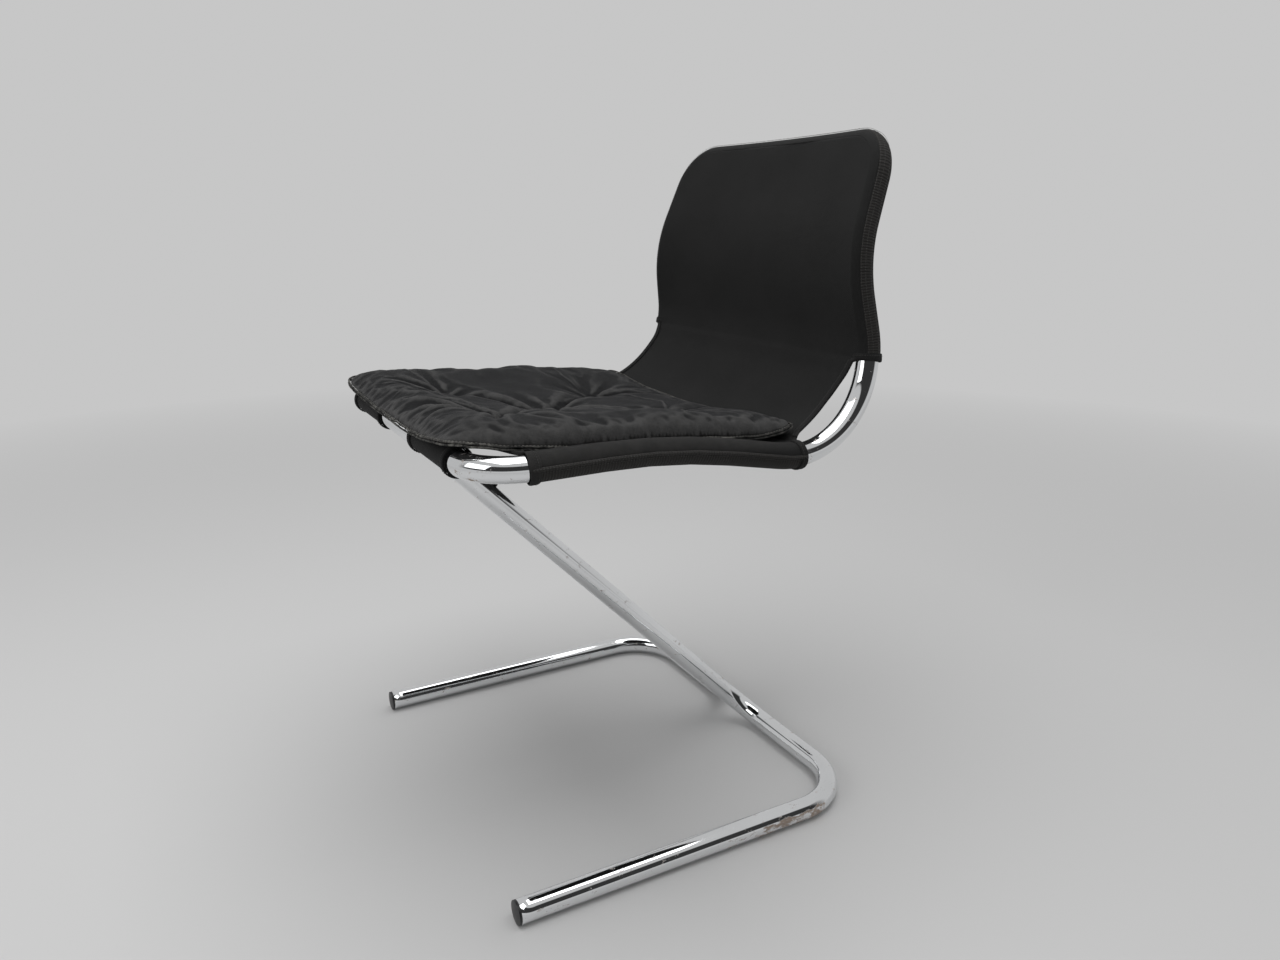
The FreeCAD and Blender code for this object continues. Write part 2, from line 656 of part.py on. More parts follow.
def main():
    os.makedirs("parts", exist_ok=True)
    path = frame_path()
    boxes = []

    boxes += save_pair("frame_tube", pipe(path, 0.0, path.length, TUBE_R, BORE_R))
    boxes += save_pair("end_plug", end_plug(path))
    spigot_start = path.length - SPIGOT_LENGTH / 2.0
    spigot = pipe(path, spigot_start, path.length, STEM_R, STEM_R - SPIGOT_WALL)
    boxes.append(save("top_joint_spigot", spigot.fuse(mirrored(spigot)).removeSplitter()))
    boxes.append(save("upper_weld_beads", weld_beads(path, 1.0)))
    boxes.append(save("lower_weld_beads", weld_beads(path, -1.0)))

    past_top = path.where(lambda p: p.z > FRONT_RAIL_Z - NEAR_ENOUGH)
    front_inner = path.where(lambda p: p.x >= FRONT_SLEEVE_INNER_X, past_top)
    front_outer = path.where(lambda p: p.x >= FRONT_SLEEVE_OUTER_X, past_top)
    side_front = path.where(lambda p: p.y >= SIDE_SLEEVE_FRONT_Y, front_outer)
    side_rear = path.where(lambda p: p.y >= SIDE_SLEEVE_REAR_Y, side_front)
    back_foot = path.where(lambda p: p.z >= BACK_SLEEVE_FOOT_Z, side_rear)
    corner_start = path.where(lambda p: p.z >= TOP_CORNER.z - TOP_CORNER_R - CORNER_LEAD, back_foot)
    top_middle = path.length

    boxes += save_pair("front_sleeve", pipe(path, front_inner, front_outer, SLEEVE_R, SLEEVE_BORE_R))
    boxes += save_pair("side_sleeve", pipe(path, side_front, side_rear, SLEEVE_R, SLEEVE_BORE_R))
    boxes += save_pair("back_sleeve", pipe(path, back_foot, corner_start, SLEEVE_R, SLEEVE_BORE_R))
    top_half = pipe(path, corner_start, top_middle, SLEEVE_R, SLEEVE_BORE_R)
    boxes.append(save("top_back_sleeve", top_half.fuse(mirrored(top_half)).removeSplitter()))

    welt_points = []
    for i in range(WELT_POINTS):
        point = path.point(side_front + (side_rear - side_front) * i / (WELT_POINTS - 1))
        welt_points.append(point + Vector(SLEEVE_R + WELT_R + SEAM_GAP, 0, 0))
    boxes += save_pair("sleeve_welt", edge_hem(welt_points, WELT_R))

    boxes.append(save("seat_panel", seat_panel(path)))
    boxes.append(save("rear_curve_panel", rear_curve_panel()))
    corner_end = path.where(lambda p: p.z >= TOP_CORNER.z - CORNER_FINISH, corner_start)
    corner_middle = (corner_start + corner_end) / 2.0
    upright = corner_start - back_foot
    distances = [back_foot + upright * share for share in BACK_SHARES]
    distances += [corner_middle, corner_end]
    boxes.append(save("back_front_panel", back_ply(path, distances, SLEEVE_R, BACK_HANG)))
    boxes.append(save("back_rear_panel", back_ply(path, distances, -SLEEVE_R - CLOTH, REAR_PLY_HANG)))
    boxes += save_pair("rear_edge_hem", edge_hem(curve_hem_points(), HEM_R))
    boxes += save_pair("corner_hem", edge_hem(corner_hem_points(path), HEM_R))
    boxes += save_pair("corner_tab", corner_tab())

    top_cover, filling, bottom_cover = seat_pad(path)
    threads = tuft_threads(path)
    bores = [thread.copy() for thread in threads]
    boxes.append(save("pad_top_cover", top_cover.cut(bores)))
    boxes.append(save("pad_filling", filling.cut(bores)))
    boxes.append(save("pad_bottom_cover", bottom_cover.cut(bores)))
    boxes.append(save("pad_edge_binding", pad_binding(path)))
    boxes.append(save("tuft_threads", Part.makeCompound(threads)))

    low = [min(box.XMin for box in boxes), min(box.YMin for box in boxes), min(box.ZMin for box in boxes)]
    high = [max(box.XMax for box in boxes), max(box.YMax for box in boxes), max(box.ZMax for box in boxes)]
    print("whole chair from", [round(v, 2) for v in low], "to", [round(v, 2) for v in high])


main()
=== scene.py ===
import math

import bmesh
import bpy
import numpy as np
from mathutils import Euler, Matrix, Vector, geometry, noise


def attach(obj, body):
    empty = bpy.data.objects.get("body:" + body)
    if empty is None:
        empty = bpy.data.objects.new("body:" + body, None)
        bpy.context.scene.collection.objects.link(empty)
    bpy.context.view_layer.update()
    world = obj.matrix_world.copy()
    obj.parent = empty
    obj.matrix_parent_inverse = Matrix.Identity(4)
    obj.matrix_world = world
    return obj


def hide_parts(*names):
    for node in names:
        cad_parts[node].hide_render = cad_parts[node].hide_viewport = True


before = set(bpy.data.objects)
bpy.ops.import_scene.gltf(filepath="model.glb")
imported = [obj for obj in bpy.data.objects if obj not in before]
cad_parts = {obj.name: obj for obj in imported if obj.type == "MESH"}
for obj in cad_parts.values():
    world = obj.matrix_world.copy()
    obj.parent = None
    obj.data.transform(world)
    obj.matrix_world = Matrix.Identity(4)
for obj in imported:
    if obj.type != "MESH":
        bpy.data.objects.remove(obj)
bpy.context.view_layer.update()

# A cantilever chair: chromed tube, a black cloth sling and a tufted pad.
# The shapes are worked out in millimetres and written to the meshes in metres.

TUBE_R = 12.5
SLEEVE_R = 13.75
CLOTH = 1.2
FRONT_RAIL_Y = -246.5
FRONT_RAIL_Z = 461.3
TOP_RAIL_Y = 253.5
TOP_RAIL_Z = 756.0
TOP_CORNER_R = 51.0
SEAT_HALF = 229.0
PLUG_DEPTH = 3.7

# Corners of the left tube's centre line, each with the radius of its bend
TUBE_CORNERS = (
    ((241.5, -234.5 + PLUG_DEPTH, 12.5), 0.0),
    ((244.5, 198.5, 12.5), 75.0),
    ((12.5, 198.5, 12.5), 50.0),
    ((12.5, FRONT_RAIL_Y, FRONT_RAIL_Z), 50.0),
    ((232.0, FRONT_RAIL_Y, FRONT_RAIL_Z), 52.0),
    ((231.0, -52.9, 463.9), 700.0),
    ((229.6, 226.6, 411.3), 107.0),
    ((201.7, 191.4, 633.5), 166.0),
    ((186.1, 236.7, TOP_RAIL_Z), TOP_CORNER_R),
    ((68.0, TOP_RAIL_Y, TOP_RAIL_Z), 940.0),
    ((0.0, TOP_RAIL_Y, TOP_RAIL_Z), 0.0),
)

# Where the sleeves start and end along the tube
FRONT_SLEEVE_INNER_X = 60.0
FRONT_SLEEVE_OUTER_X = 178.0
SIDE_SLEEVE_FRONT_Y = -199.5
SIDE_SLEEVE_REAR_Y = 103.5
BACK_SLEEVE_FOOT_Z = 527.0

# Angles round the tube: 0 is outward, 90 the sitter's side, 180 inward
SIDE_SEAM_ANGLE = 4.0
BACK_SEAM_ANGLE = 50.0
BACK_FOLD_ANGLE = 94.0

# Seat cloth: y, half width and how far the middle hangs
SEAT_ROWS = (
    (-251.5, 176.0, 0.5), (-242.5, 177.0, 0.6), (-230.5, 183.0, 2.5), (-217.5, 197.0, 6.0),
    (-205.5, 226.0, 10.0), (-177.5, 229.5, 17.0), (-142.5, 229.5, 23.0), (-92.5, 229.5, 28.0),
    (-32.5, 229.3, 28.0), (17.5, 229.0, 25.0), (57.5, 228.5, 20.0), (101.5, 227.5, 12.0),
)
# Cloth between seat and back: y, z, slope in degrees, half width and hang
CURVE_ROWS = (
    (102.0, 453.8, 4.0, 227.0, 12.0), (108.5, 454.8, 12.0, 219.0, 11.6), (116.5, 457.5, 23.0, 213.0, 11.0),
    (128.5, 463.6, 31.0, 210.0, 10.0), (142.5, 473.2, 38.0, 208.0, 9.0), (157.5, 486.5, 46.0, 206.5, 8.0),
    (171.5, 501.5, 56.0, 206.5, 7.2), (181.5, 514.5, 67.0, 207.5, 6.6), (188.2, 529.2, 86.0, 210.0, 6.0),
)
# Points across the sling
ACROSS = 121
# Closer points are merged, in metres
SAME_POINT = 0.00002


# Small helpers

def unit(v):
    return v / np.linalg.norm(v)


def rows_of_units(vectors):
    return vectors / np.linalg.norm(vectors, axis=-1, keepdims=True)


def grown_lengths(points, axis=0):
    """Lengths along a row or grid of points, from 0 at its start."""
    gaps = np.linalg.norm(np.diff(points, axis=axis), axis=-1)
    widths = [(0, 0)] * gaps.ndim
    widths[axis] = (1, 0)
    return np.pad(np.cumsum(gaps, axis=axis), widths)


def eased(xs, ys, at):
    """Smooth values between the given ones, without overshoot."""
    xs, ys, at = np.asarray(xs, float), np.asarray(ys, float), np.asarray(at, float)
    gaps = np.diff(xs)
    rise = np.diff(ys) / gaps
    slope = np.zeros_like(ys)
    slope[0], slope[-1] = rise[0], rise[-1]
    same = rise[:-1] * rise[1:] > 0
    both = np.where(same, rise[:-1] + rise[1:], 1.0)
    slope[1:-1] = np.where(same, 2 * rise[:-1] * rise[1:] / both, 0.0)
    at = np.clip(at, xs[0], xs[-1])
    i = np.clip(np.searchsorted(xs, at) - 1, 0, len(xs) - 2)
    t = (at - xs[i]) / gaps[i]
    return ((2 * t ** 3 - 3 * t ** 2 + 1) * ys[i] + (t ** 3 - 2 * t ** 2 + t) * gaps[i] * slope[i]
            + (3 * t ** 2 - 2 * t ** 3) * ys[i + 1] + (t ** 3 - t ** 2) * gaps[i] * slope[i + 1])


class BentLine:
    """A centre line of straight runs and arcs, with a frame that turns with it."""

    def __init__(self, corners, turn_step=3.0, run_step=15.0):
        points = [np.array(corners[0][0], float)]

        def run_to(target):
            start = points[-1]
            steps = max(1, int(np.linalg.norm(target - start) / run_step))
            for i in range(1, steps + 1):
                points.append(start + (target - start) * i / steps)

        for (before, _), (corner, radius), (after, _) in zip(corners, corners[1:], corners[2:]):
            corner = np.array(corner, float)
            back, ahead = unit(np.array(before) - corner), unit(np.array(after) - corner)
            half = math.acos(float(np.dot(back, ahead))) / 2
            trim = radius / math.tan(half)
            centre = corner + unit(back + ahead) * radius / math.sin(half)
            run_to(corner + back * trim)
            a, b = corner + back * trim - centre, corner + ahead * trim - centre
            sweep = math.pi - 2 * half
            steps = max(3, int(math.degrees(sweep) / turn_step))
            for i in range(1, steps + 1):
                t = i / steps
                points.append(centre + (math.sin((1 - t) * sweep) * a + math.sin(t * sweep) * b) / math.sin(sweep))
        run_to(np.array(corners[-1][0], float))
        self.points = np.array(points)
        self.lengths = grown_lengths(self.points)
        self.length = self.lengths[-1]
        self.tangents = rows_of_units(np.gradient(self.points, axis=0))
        self.set_normals(0, (0, 0, 1))

    def set_normals(self, index, normal):
        """Carries a normal along the line, both ways from one of its points."""
        self.normals = np.zeros_like(self.points)
        for steps in (range(index, len(self.points)), range(index, -1, -1)):
            n = np.array(normal, float)
            for i in steps:
                n = unit(n - np.dot(n, self.tangents[i]) * self.tangents[i])
                self.normals[i] = n

    def at(self, distance):
        """Point, outward direction and sitter's-side direction at a distance."""
        d = np.asarray(distance, float)
        place, n, t = (np.stack([np.interp(d, self.lengths, given[:, k]) for k in range(3)], -1)
                       for given in (self.points, self.normals, self.tangents))
        n, t = rows_of_units(n), rows_of_units(t)
        return place, np.cross(t, n), n

    def where(self, axis, value, after=0.0):
        """The first distance past 'after' at which a coordinate passes a value."""
        fine = np.arange(after, self.length, 0.25)
        along = np.interp(fine, self.lengths, self.points[:, axis])
        return fine[np.nonzero(along >= value)[0][0]]

    def ring(self, distances, angles, radius):
        """Points round the line at the given distances (rows) and angles in degrees (columns)."""
        distances = np.asarray(distances, float)
        if distances.ndim == 1:
            distances = distances[:, None]
        distances, angles, radius = np.broadcast_arrays(distances, np.radians(angles), radius)
        place, outward, sitter = self.at(distances)
        return place + radius[..., None] * (np.cos(angles)[..., None] * outward
                                            + np.sin(angles)[..., None] * sitter)


def uneven(x, y, z):
    """Smooth unevenness between about -1 and 1."""
    return noise.noise(Vector((x, y, z)))


def flat_uv(across, along):
    """Cloth coordinates in metres, from lengths in millimetres."""
    return np.stack(np.broadcast_arrays(across, along), -1) * 0.001


def grid_faces(rows, columns, around=False, flip=False):
    """Quads over rows of points; a grid that goes around joins its last column to its first."""
    faces = []
    for r in range(rows - 1):
        for c in range(columns if around else columns - 1):
            d = (c + 1) % columns
            quad = (r * columns + c, r * columns + d, (r + 1) * columns + d, (r + 1) * columns + c)
            faces.append(quad[::-1] if flip else quad)
    return faces


def placed(name, data):
    """A new object in the scene, at the origin."""
    obj = bpy.data.objects.new(name, data)
    bpy.context.scene.collection.objects.link(obj)
    return obj


def mesh_piece(name, points_mm, faces, material, uvs=None):
    """A new object from points in millimetres. The uv map is in metres."""
    mesh = bpy.data.meshes.new(name)
    points = np.asarray(points_mm, float).reshape(-1, 3) * 0.001
    mesh.from_pydata(points.tolist(), [], faces)
    if uvs is not None:
        layer = mesh.uv_layers.new(name="UVMap")
        flat = np.asarray(uvs, float).reshape(-1, 2)
        corners = np.zeros(len(mesh.loops), dtype=np.int32)
        mesh.loops.foreach_get("vertex_index", corners)
        layer.data.foreach_set("uv", flat[corners].ravel())
    mesh.polygons.foreach_set("use_smooth", [True] * len(mesh.polygons))
    mesh.materials.append(material)
    return placed(name, mesh)


def vertex_values(mesh, name):
    """A row for each vertex: its place ("co") or its "normal"."""
    values = np.zeros(len(mesh.vertices) * 3)
    mesh.vertices.foreach_get(name, values)
    return values.reshape(-1, 3)


def apply_modifiers(obj):
    """Turns the object's modifiers into its mesh."""
    graph = bpy.context.evaluated_depsgraph_get()
    graph.update()
    made = bpy.data.meshes.new_from_object(obj.evaluated_get(graph))
    old = obj.data
    obj.modifiers.clear()
    obj.data = made
    made.name = obj.name
    bpy.data.meshes.remove(old)
    return obj


def thickened(obj, offset=1.0):
    """Gives a sheet the cloth's thickness."""
    solid = obj.modifiers.new("thickness", "SOLIDIFY")
    solid.thickness = CLOTH * 0.001
    solid.offset = offset
    return apply_modifiers(obj)


def joined(name, parts):
    """Several objects as one, under a new name."""
    work = bmesh.new()
    for part in parts:
        work.from_mesh(part.data)
    bmesh.ops.remove_doubles(work, verts=work.verts, dist=SAME_POINT)
    data = bpy.data.meshes.new(name)
    work.to_mesh(data)
    work.free()
    data.materials.append(parts[0].data.materials[0])
    for part in parts:
        bpy.data.objects.remove(part)
    return placed(name, data)


def mirrored(obj, name):
    """The same piece on the chair's right side."""
    data = obj.data.copy()
    data.name = name
    work = bmesh.new()
    work.from_mesh(data)
    for vert in work.verts:
        vert.co.x = -vert.co.x
    bmesh.ops.reverse_faces(work, faces=work.faces)
    work.to_mesh(data)
    work.free()
    return placed(name, data)


def faced_out(obj):
    """Merges an object's doubled points and turns its faces outwards."""
    work = bmesh.new()
    work.from_mesh(obj.data)
    bmesh.ops.remove_doubles(work, verts=work.verts, dist=SAME_POINT)
    bmesh.ops.recalc_face_normals(work, faces=work.faces)
    work.to_mesh(obj.data)
    work.free()
    return obj


def swept(name, places, sideways, normals, profile, material):
    """A flat closed profile swept along points; its pairs are sideways and normal offsets."""
    profile = np.asarray(profile, float)
    rows = places[:, None] + profile[None, :, :1] * sideways[:, None] + profile[None, :, 1:] * normals[:, None]
    count, sides = rows.shape[:2]
    faces = grid_faces(count, sides, around=True)
    faces += [tuple(range(sides)), tuple(range((count - 1) * sides, count * sides))]
    uv = flat_uv(profile[:, 0], grown_lengths(places)[:, None])
    return faced_out(mesh_piece(name, rows, faces, material, uv))


def round_bar(name, points, radius, material, sides=48, closed=False):
    """A round bar swept along points: a ring, or a bar with flat ends."""
    points = np.asarray(points, float)
    ahead = np.roll(points, -1, axis=0) - np.roll(points, 1, axis=0) if closed else np.gradient(points, axis=0)
    n = np.array([0.0, 0.0, 1.0])
    rings = []
    angles = np.linspace(0, 2 * math.pi, sides, endpoint=False)
    for point, t in zip(points, rows_of_units(ahead)):
        n = unit(n - np.dot(n, t) * t)
        b = np.cross(t, n)
        rings.append(point + radius * (np.cos(angles)[:, None] * n + np.sin(angles)[:, None] * b))
    count = len(points)
    faces = grid_faces(count, sides, around=True)
    if closed:
        last = (count - 1) * sides
        faces += [(last + c, last + (c + 1) % sides, (c + 1) % sides, c) for c in range(sides)]
    else:
        faces += [tuple(range(sides))[::-1], tuple(range((count - 1) * sides, count * sides))]
    uv = flat_uv(angles * radius, grown_lengths(points)[:, None])
    return mesh_piece(name, np.concatenate(rings), faces, material, uv)


# Materials

class Nodes:
    """Calls that add a node to a tree and return its output socket."""

    def __init__(self, tree):
        self.tree = tree
        tree.nodes.clear()

    def node(self, kind, output=0, inputs=None, **settings):
        made = self.tree.nodes.new(kind if "Node" in kind else "ShaderNode" + kind)
        for key, value in settings.items():
            setattr(made, key, value)
        for key, value in (inputs or {}).items():
            self.put(made.inputs[key], value)
        return made.outputs[output]

    def put(self, socket, value):
        if isinstance(value, bpy.types.NodeSocket):
            self.tree.links.new(value, socket)
        else:
            socket.default_value = value

    def coords(self, kind="Object"):
        return self.node("TexCoord", kind)

    def axis(self, vector, index):
        return self.node("SeparateXYZ", index, {0: vector})

    def scaled(self, vector, scale, turn=(0, 0, 0)):
        return self.node("Mapping", inputs={"Vector": vector, "Scale": scale, "Rotation": turn})

    def noise(self, vector, scale, detail=4.0, roughness=0.55, distortion=0.0):
        return self.node("TexNoise", 0, {"Vector": vector, "Scale": scale, "Detail": detail,
                                         "Roughness": roughness, "Distortion": distortion})

    def math(self, operation, a, b=0.0, clamp=False):
        return self.node("Math", 0, {0: a, 1: b}, operation=operation, use_clamp=clamp)

    def product(self, first, *others):
        for other in others:
            first = self.math("MULTIPLY", first, other)
        return first

    def total(self, first, *others):
        for other in others:
            first = self.math("ADD", first, other)
        return first

    def span(self, value, low, high, to_low=0.0, to_high=1.0):
        return self.node("MapRange", 0, {"Value": value, "From Min": low, "From Max": high,
                                         "To Min": to_low, "To Max": to_high})

    def between(self, value, low, high, soft):
        """1 between two values, falling to 0 over a soft width outside them."""
        return self.product(self.span(value, low - soft, low), self.span(value, high + soft, high))

    def mix(self, factor, a, b):
        made = self.tree.nodes.new("ShaderNodeMix")
        made.data_type = "RGBA"
        self.put(made.inputs[0], factor)
        self.put(made.inputs[6], a)
        self.put(made.inputs[7], b)
        return made.outputs[2]

    def bump(self, height, strength, distance):
        return self.node("Bump", 0, {"Height": height, "Strength": strength, "Distance": distance})


class Finish(Nodes):
    """A material with one principled shader."""

    def __init__(self, name):
        self.material = bpy.data.materials.new(name)
        self.material.use_nodes = True
        super().__init__(self.material.node_tree)
        self.out = self.tree.nodes.new("ShaderNodeOutputMaterial")
        self.shader = self.tree.nodes.new("ShaderNodeBsdfPrincipled")
        self.tree.links.new(self.shader.outputs[0], self.out.inputs["Surface"])

    def set(self, **values):
        for key, value in values.items():
            self.put(self.shader.inputs[key.replace("_", " ")], value)


def rgb(*values):
    return (*values, 1.0)


def grey(value, warmth=0.0):
    return (value * (1 + warmth), value, value * (1 - warmth), 1.0)


def chrome_finish():
    """Bright plate with fine scratches, pits and a few rusted patches low on the runners."""
    f = Finish("chrome plate")
    where = f.coords()
    uv = f.coords("UV")
    cloudy = f.noise(where, 9.0, 3.0)
    fine = f.noise(where, 160.0, 5.0, 0.65)
    across, along, high = (f.axis(where, k) for k in range(3))
    across = f.math("ABSOLUTE", across)
    scratch = f.span(f.noise(f.scaled(uv, (90.0, 700.0, 1.0)), 1.0, 6.0, 0.75), 0.66, 0.72)
    near_plugs = f.product(f.span(along, -0.12, -0.2), f.span(high, 0.03, 0.026))
    rubbed = f.total(f.span(f.noise(where, 5.0, 2.0), 0.5, 0.66), near_plugs)
    scratch = f.product(scratch, rubbed)
    pits = f.span(f.noise(where, 420.0, 3.0, 0.6), 0.7, 0.8)
    low_outside = f.product(f.span(across, 0.246, 0.2505), f.between(high, 0.002, 0.0165, 0.003))
    streak = f.product(low_outside, f.between(along, 0.068, 0.142, 0.02))
    spots = f.product(low_outside, f.between(along, 0.0, 0.062, 0.012))
    corner = f.product(f.span(high, 0.445, 0.452), f.between(across, 0.2, 0.236, 0.01), f.span(along, -0.235, -0.245))
    patchy = f.noise(f.scaled(where, (1.0, 0.5, 1.3)), 120.0, 6.0, 0.72)
    grown = f.total(patchy, f.product(streak, 0.17), f.product(spots, 0.055), f.product(corner, 0.05))
    rust = f.math("MULTIPLY", f.span(grown, 0.615, 0.69), 0.85, True)
    steel = f.mix(f.span(cloudy, 0.3, 0.7), rgb(0.84, 0.85, 0.86), rgb(0.76, 0.77, 0.78))
    steel = f.mix(f.product(scratch, 0.35), steel, rgb(0.5, 0.49, 0.47))
    brown = f.mix(f.noise(where, 300.0, 3.0), rgb(0.09, 0.045, 0.025), rgb(0.3, 0.2, 0.12))
    rough = f.total(f.span(cloudy, 0.35, 0.75, 0.035, 0.085), f.product(scratch, 0.2), f.product(rust, 0.5))
    relief = f.total(f.product(fine, 0.12), f.product(scratch, -0.5), f.product(pits, -0.8), f.product(rust, patchy))
    f.set(Base_Color=f.mix(rust, steel, brown), Metallic=f.math("SUBTRACT", 1.0, rust, True), Roughness=rough,
          Normal=f.bump(relief, 0.12, 0.0002))
    return f.material


def weave_height(f, uv, pitch, turn=0.0):
    """Over-and-under threads in the piece's own uv map, in metres."""
    grid = f.scaled(uv, (1.0 / pitch, 1.0 / pitch, 1.0), (0, 0, turn))
    u, v = f.axis(grid, 0), f.axis(grid, 1)
    wave_u, wave_v = (f.math("ABSOLUTE", f.math("SINE", f.product(w, math.pi))) for w in (u, v))
    even = f.math("ABSOLUTE", f.math("MODULO", f.total(f.math("FLOOR", u), f.math("FLOOR", v)), 2.0))
    return f.total(f.product(wave_u, even), f.product(wave_v, f.math("SUBTRACT", 1.0, even)))


def canvas_finish(name, dark, pale, pitch, bump=0.5, ribs=0.0, warmth=0.0):
    """Dense canvas: threads, slubs, a cloudy fade and a little dust, with ribs if a pitch is given."""
    f = Finish(name)
    uv = f.coords("UV")
    where = f.coords()
    height = weave_height(f, uv, pitch)
    slubs = [f.noise(f.scaled(uv, scale), 1.0, 3.0) for scale in ((900.0, 120.0, 1.0), (120.0, 900.0, 1.0))]
    threads = f.product(f.total(*slubs), 0.5)
    mottle = f.noise(where, 16.0, 5.0, 0.6)
    dust = f.span(f.noise(where, 230.0, 6.0, 0.72), 0.62, 0.8)
    tone = f.mix(f.span(mottle, 0.3, 0.7), grey(dark, warmth), grey(pale, warmth))
    tone = f.mix(f.product(height, 0.45), tone, grey(pale * 1.6, warmth))
    tone = f.mix(f.span(threads, 0.45, 0.62, 0.0, 0.4), tone, grey(pale * 1.9, warmth))
    tone = f.mix(f.product(dust, 0.1), tone, grey(0.12, 0.04))
    # Rubbed where the sitter's legs and hands meet the side tubes
    side = f.span(f.math("ABSOLUTE", f.axis(where, 0)), 0.205, 0.24)
    rail = f.between(f.axis(where, 2), 0.458, 0.5, 0.012)
    rubbed = f.product(side, rail, f.span(f.noise(where, 70.0, 6.0, 0.7), 0.3, 0.7, 0.35, 1.0))
    tone = f.mix(f.math("MULTIPLY", rubbed, 0.8, True), tone, grey(0.03, 0.03))
    relief = height
    if ribs:
        wave = f.math("SINE", f.product(f.axis(uv, 1), 2 * math.pi / ribs))
        wave = f.span(wave, -1.0, 1.0)
        tone = f.mix(f.product(wave, 0.7), tone, grey(pale * 2.6, warmth))
        relief = f.total(f.product(wave, 1.6), f.product(height, 0.35))
    f.set(Base_Color=tone, Roughness=f.span(threads, 0.3, 0.7, 0.82, 0.95),
          Sheen_Weight=0.03, Sheen_Roughness=0.5, Specular_IOR_Level=0.14,
          Normal=f.bump(f.total(relief, f.product(threads, 0.6)), bump, 0.0004))
    return f.material


def pad_finish():
    """Worn cotton, rubbed pale along the ridges that the mesh marks in 'wear'."""
    f = Finish("pad cloth")
    uv = f.coords("UV")
    where = f.coords()
    wear = f.node("Attribute", "Fac", attribute_name="wear")
    height = weave_height(f, uv, 0.0011, 0.12)
    threads = f.noise(f.scaled(uv, (1400.0, 240.0, 1.0), (0, 0, 0.12)), 1.0, 3.0)
    cloud = f.noise(where, 14.0, 6.0, 0.62)
    rubbed = f.noise(where, 90.0, 6.0, 0.7)
    lint = f.span(f.noise(where, 620.0, 2.0, 0.5), 0.74, 0.8)
    tone = f.mix(f.span(cloud, 0.3, 0.72), rgb(0.0066, 0.0067, 0.0074), rgb(0.0135, 0.0137, 0.0141))
    amount = f.product(f.span(wear, 0.4, 1.0), f.span(rubbed, 0.3, 0.7, 0.45, 1.0))
    tone = f.mix(f.math("MULTIPLY", amount, 0.75, True), tone, rgb(0.082, 0.081, 0.08))
    tone = f.mix(f.product(height, 0.16), tone, grey(0.032))
    dust = f.span(f.noise(where, 38.0, 6.0, 0.75), 0.6, 0.75)
    tone = f.mix(f.product(dust, 0.16), tone, grey(0.07))
    tone = f.mix(f.product(lint, 0.3), tone, grey(0.22, 0.03))
    relief = f.total(height, f.product(rubbed, 1.2), f.product(threads, 0.5))
    f.set(Base_Color=tone, Roughness=f.span(threads, 0.3, 0.7, 0.85, 0.97), Sheen_Weight=0.07, Sheen_Roughness=0.42,
          Sheen_Tint=rgb(0.75, 0.75, 0.77), Specular_IOR_Level=0.12, Normal=f.bump(relief, 0.35, 0.0004))
    return f.material


def worn_edge_finish():
    """The pad's sewn edge: black cloth frayed to a chalky line."""
    f = Finish("worn pad edge")
    where = f.coords()
    frayed = f.noise(where, 170.0, 6.0, 0.75)
    patches = f.noise(where, 26.0, 4.0, 0.6)
    amount = f.product(f.span(frayed, 0.42, 0.66), f.span(patches, 0.38, 0.62, 0.25, 1.0))
    f.set(Base_Color=f.mix(amount, grey(0.016), rgb(0.2, 0.195, 0.18)),
          Roughness=f.span(frayed, 0.3, 0.7, 0.85, 0.97), Specular_IOR_Level=0.12,
          Normal=f.bump(frayed, 0.6, 0.0006))
    return f.material


def plain_finish(name, dark, pale, roughness, metallic=0.0, scale=60.0, bump=0.2):
    """Moulded or bare material: cloudy colour, a grained surface."""
    f = Finish(name)
    where = f.coords()
    cloud = f.noise(where, scale, 5.0, 0.6)
    grain = f.noise(where, scale * 14.0, 3.0, 0.6)
    f.set(Base_Color=f.mix(f.span(cloud, 0.3, 0.7), rgb(*dark), rgb(*pale)),
          Roughness=f.span(cloud, 0.3, 0.7, roughness - 0.07, roughness + 0.07), Metallic=metallic,
          Normal=f.bump(grain, bump, 0.0003))
    return f.material


chrome = chrome_finish()
canvas = canvas_finish("sling canvas", 0.0066, 0.0104, 0.0013)
ribbed = canvas_finish("ribbed canvas", 0.0095, 0.0135, 0.0012, 0.8, 0.003, 0.05)
webbing = canvas_finish("webbing", 0.006, 0.01, 0.0022, 0.9)
pad_cloth = pad_finish()
worn_edge = worn_edge_finish()
dark_thread = plain_finish("dark thread", (0.02, 0.02, 0.019), (0.05, 0.05, 0.047), 0.7, scale=700.0)
pale_thread = plain_finish("worn thread", (0.07, 0.068, 0.062), (0.2, 0.196, 0.18), 0.8, scale=700.0)
plastic = plain_finish("moulded plug", (0.008, 0.008, 0.009), (0.016, 0.016, 0.017), 0.42)
steel = plain_finish("plain steel", (0.3, 0.3, 0.3), (0.5, 0.5, 0.51), 0.38, 1.0)


# Stitches

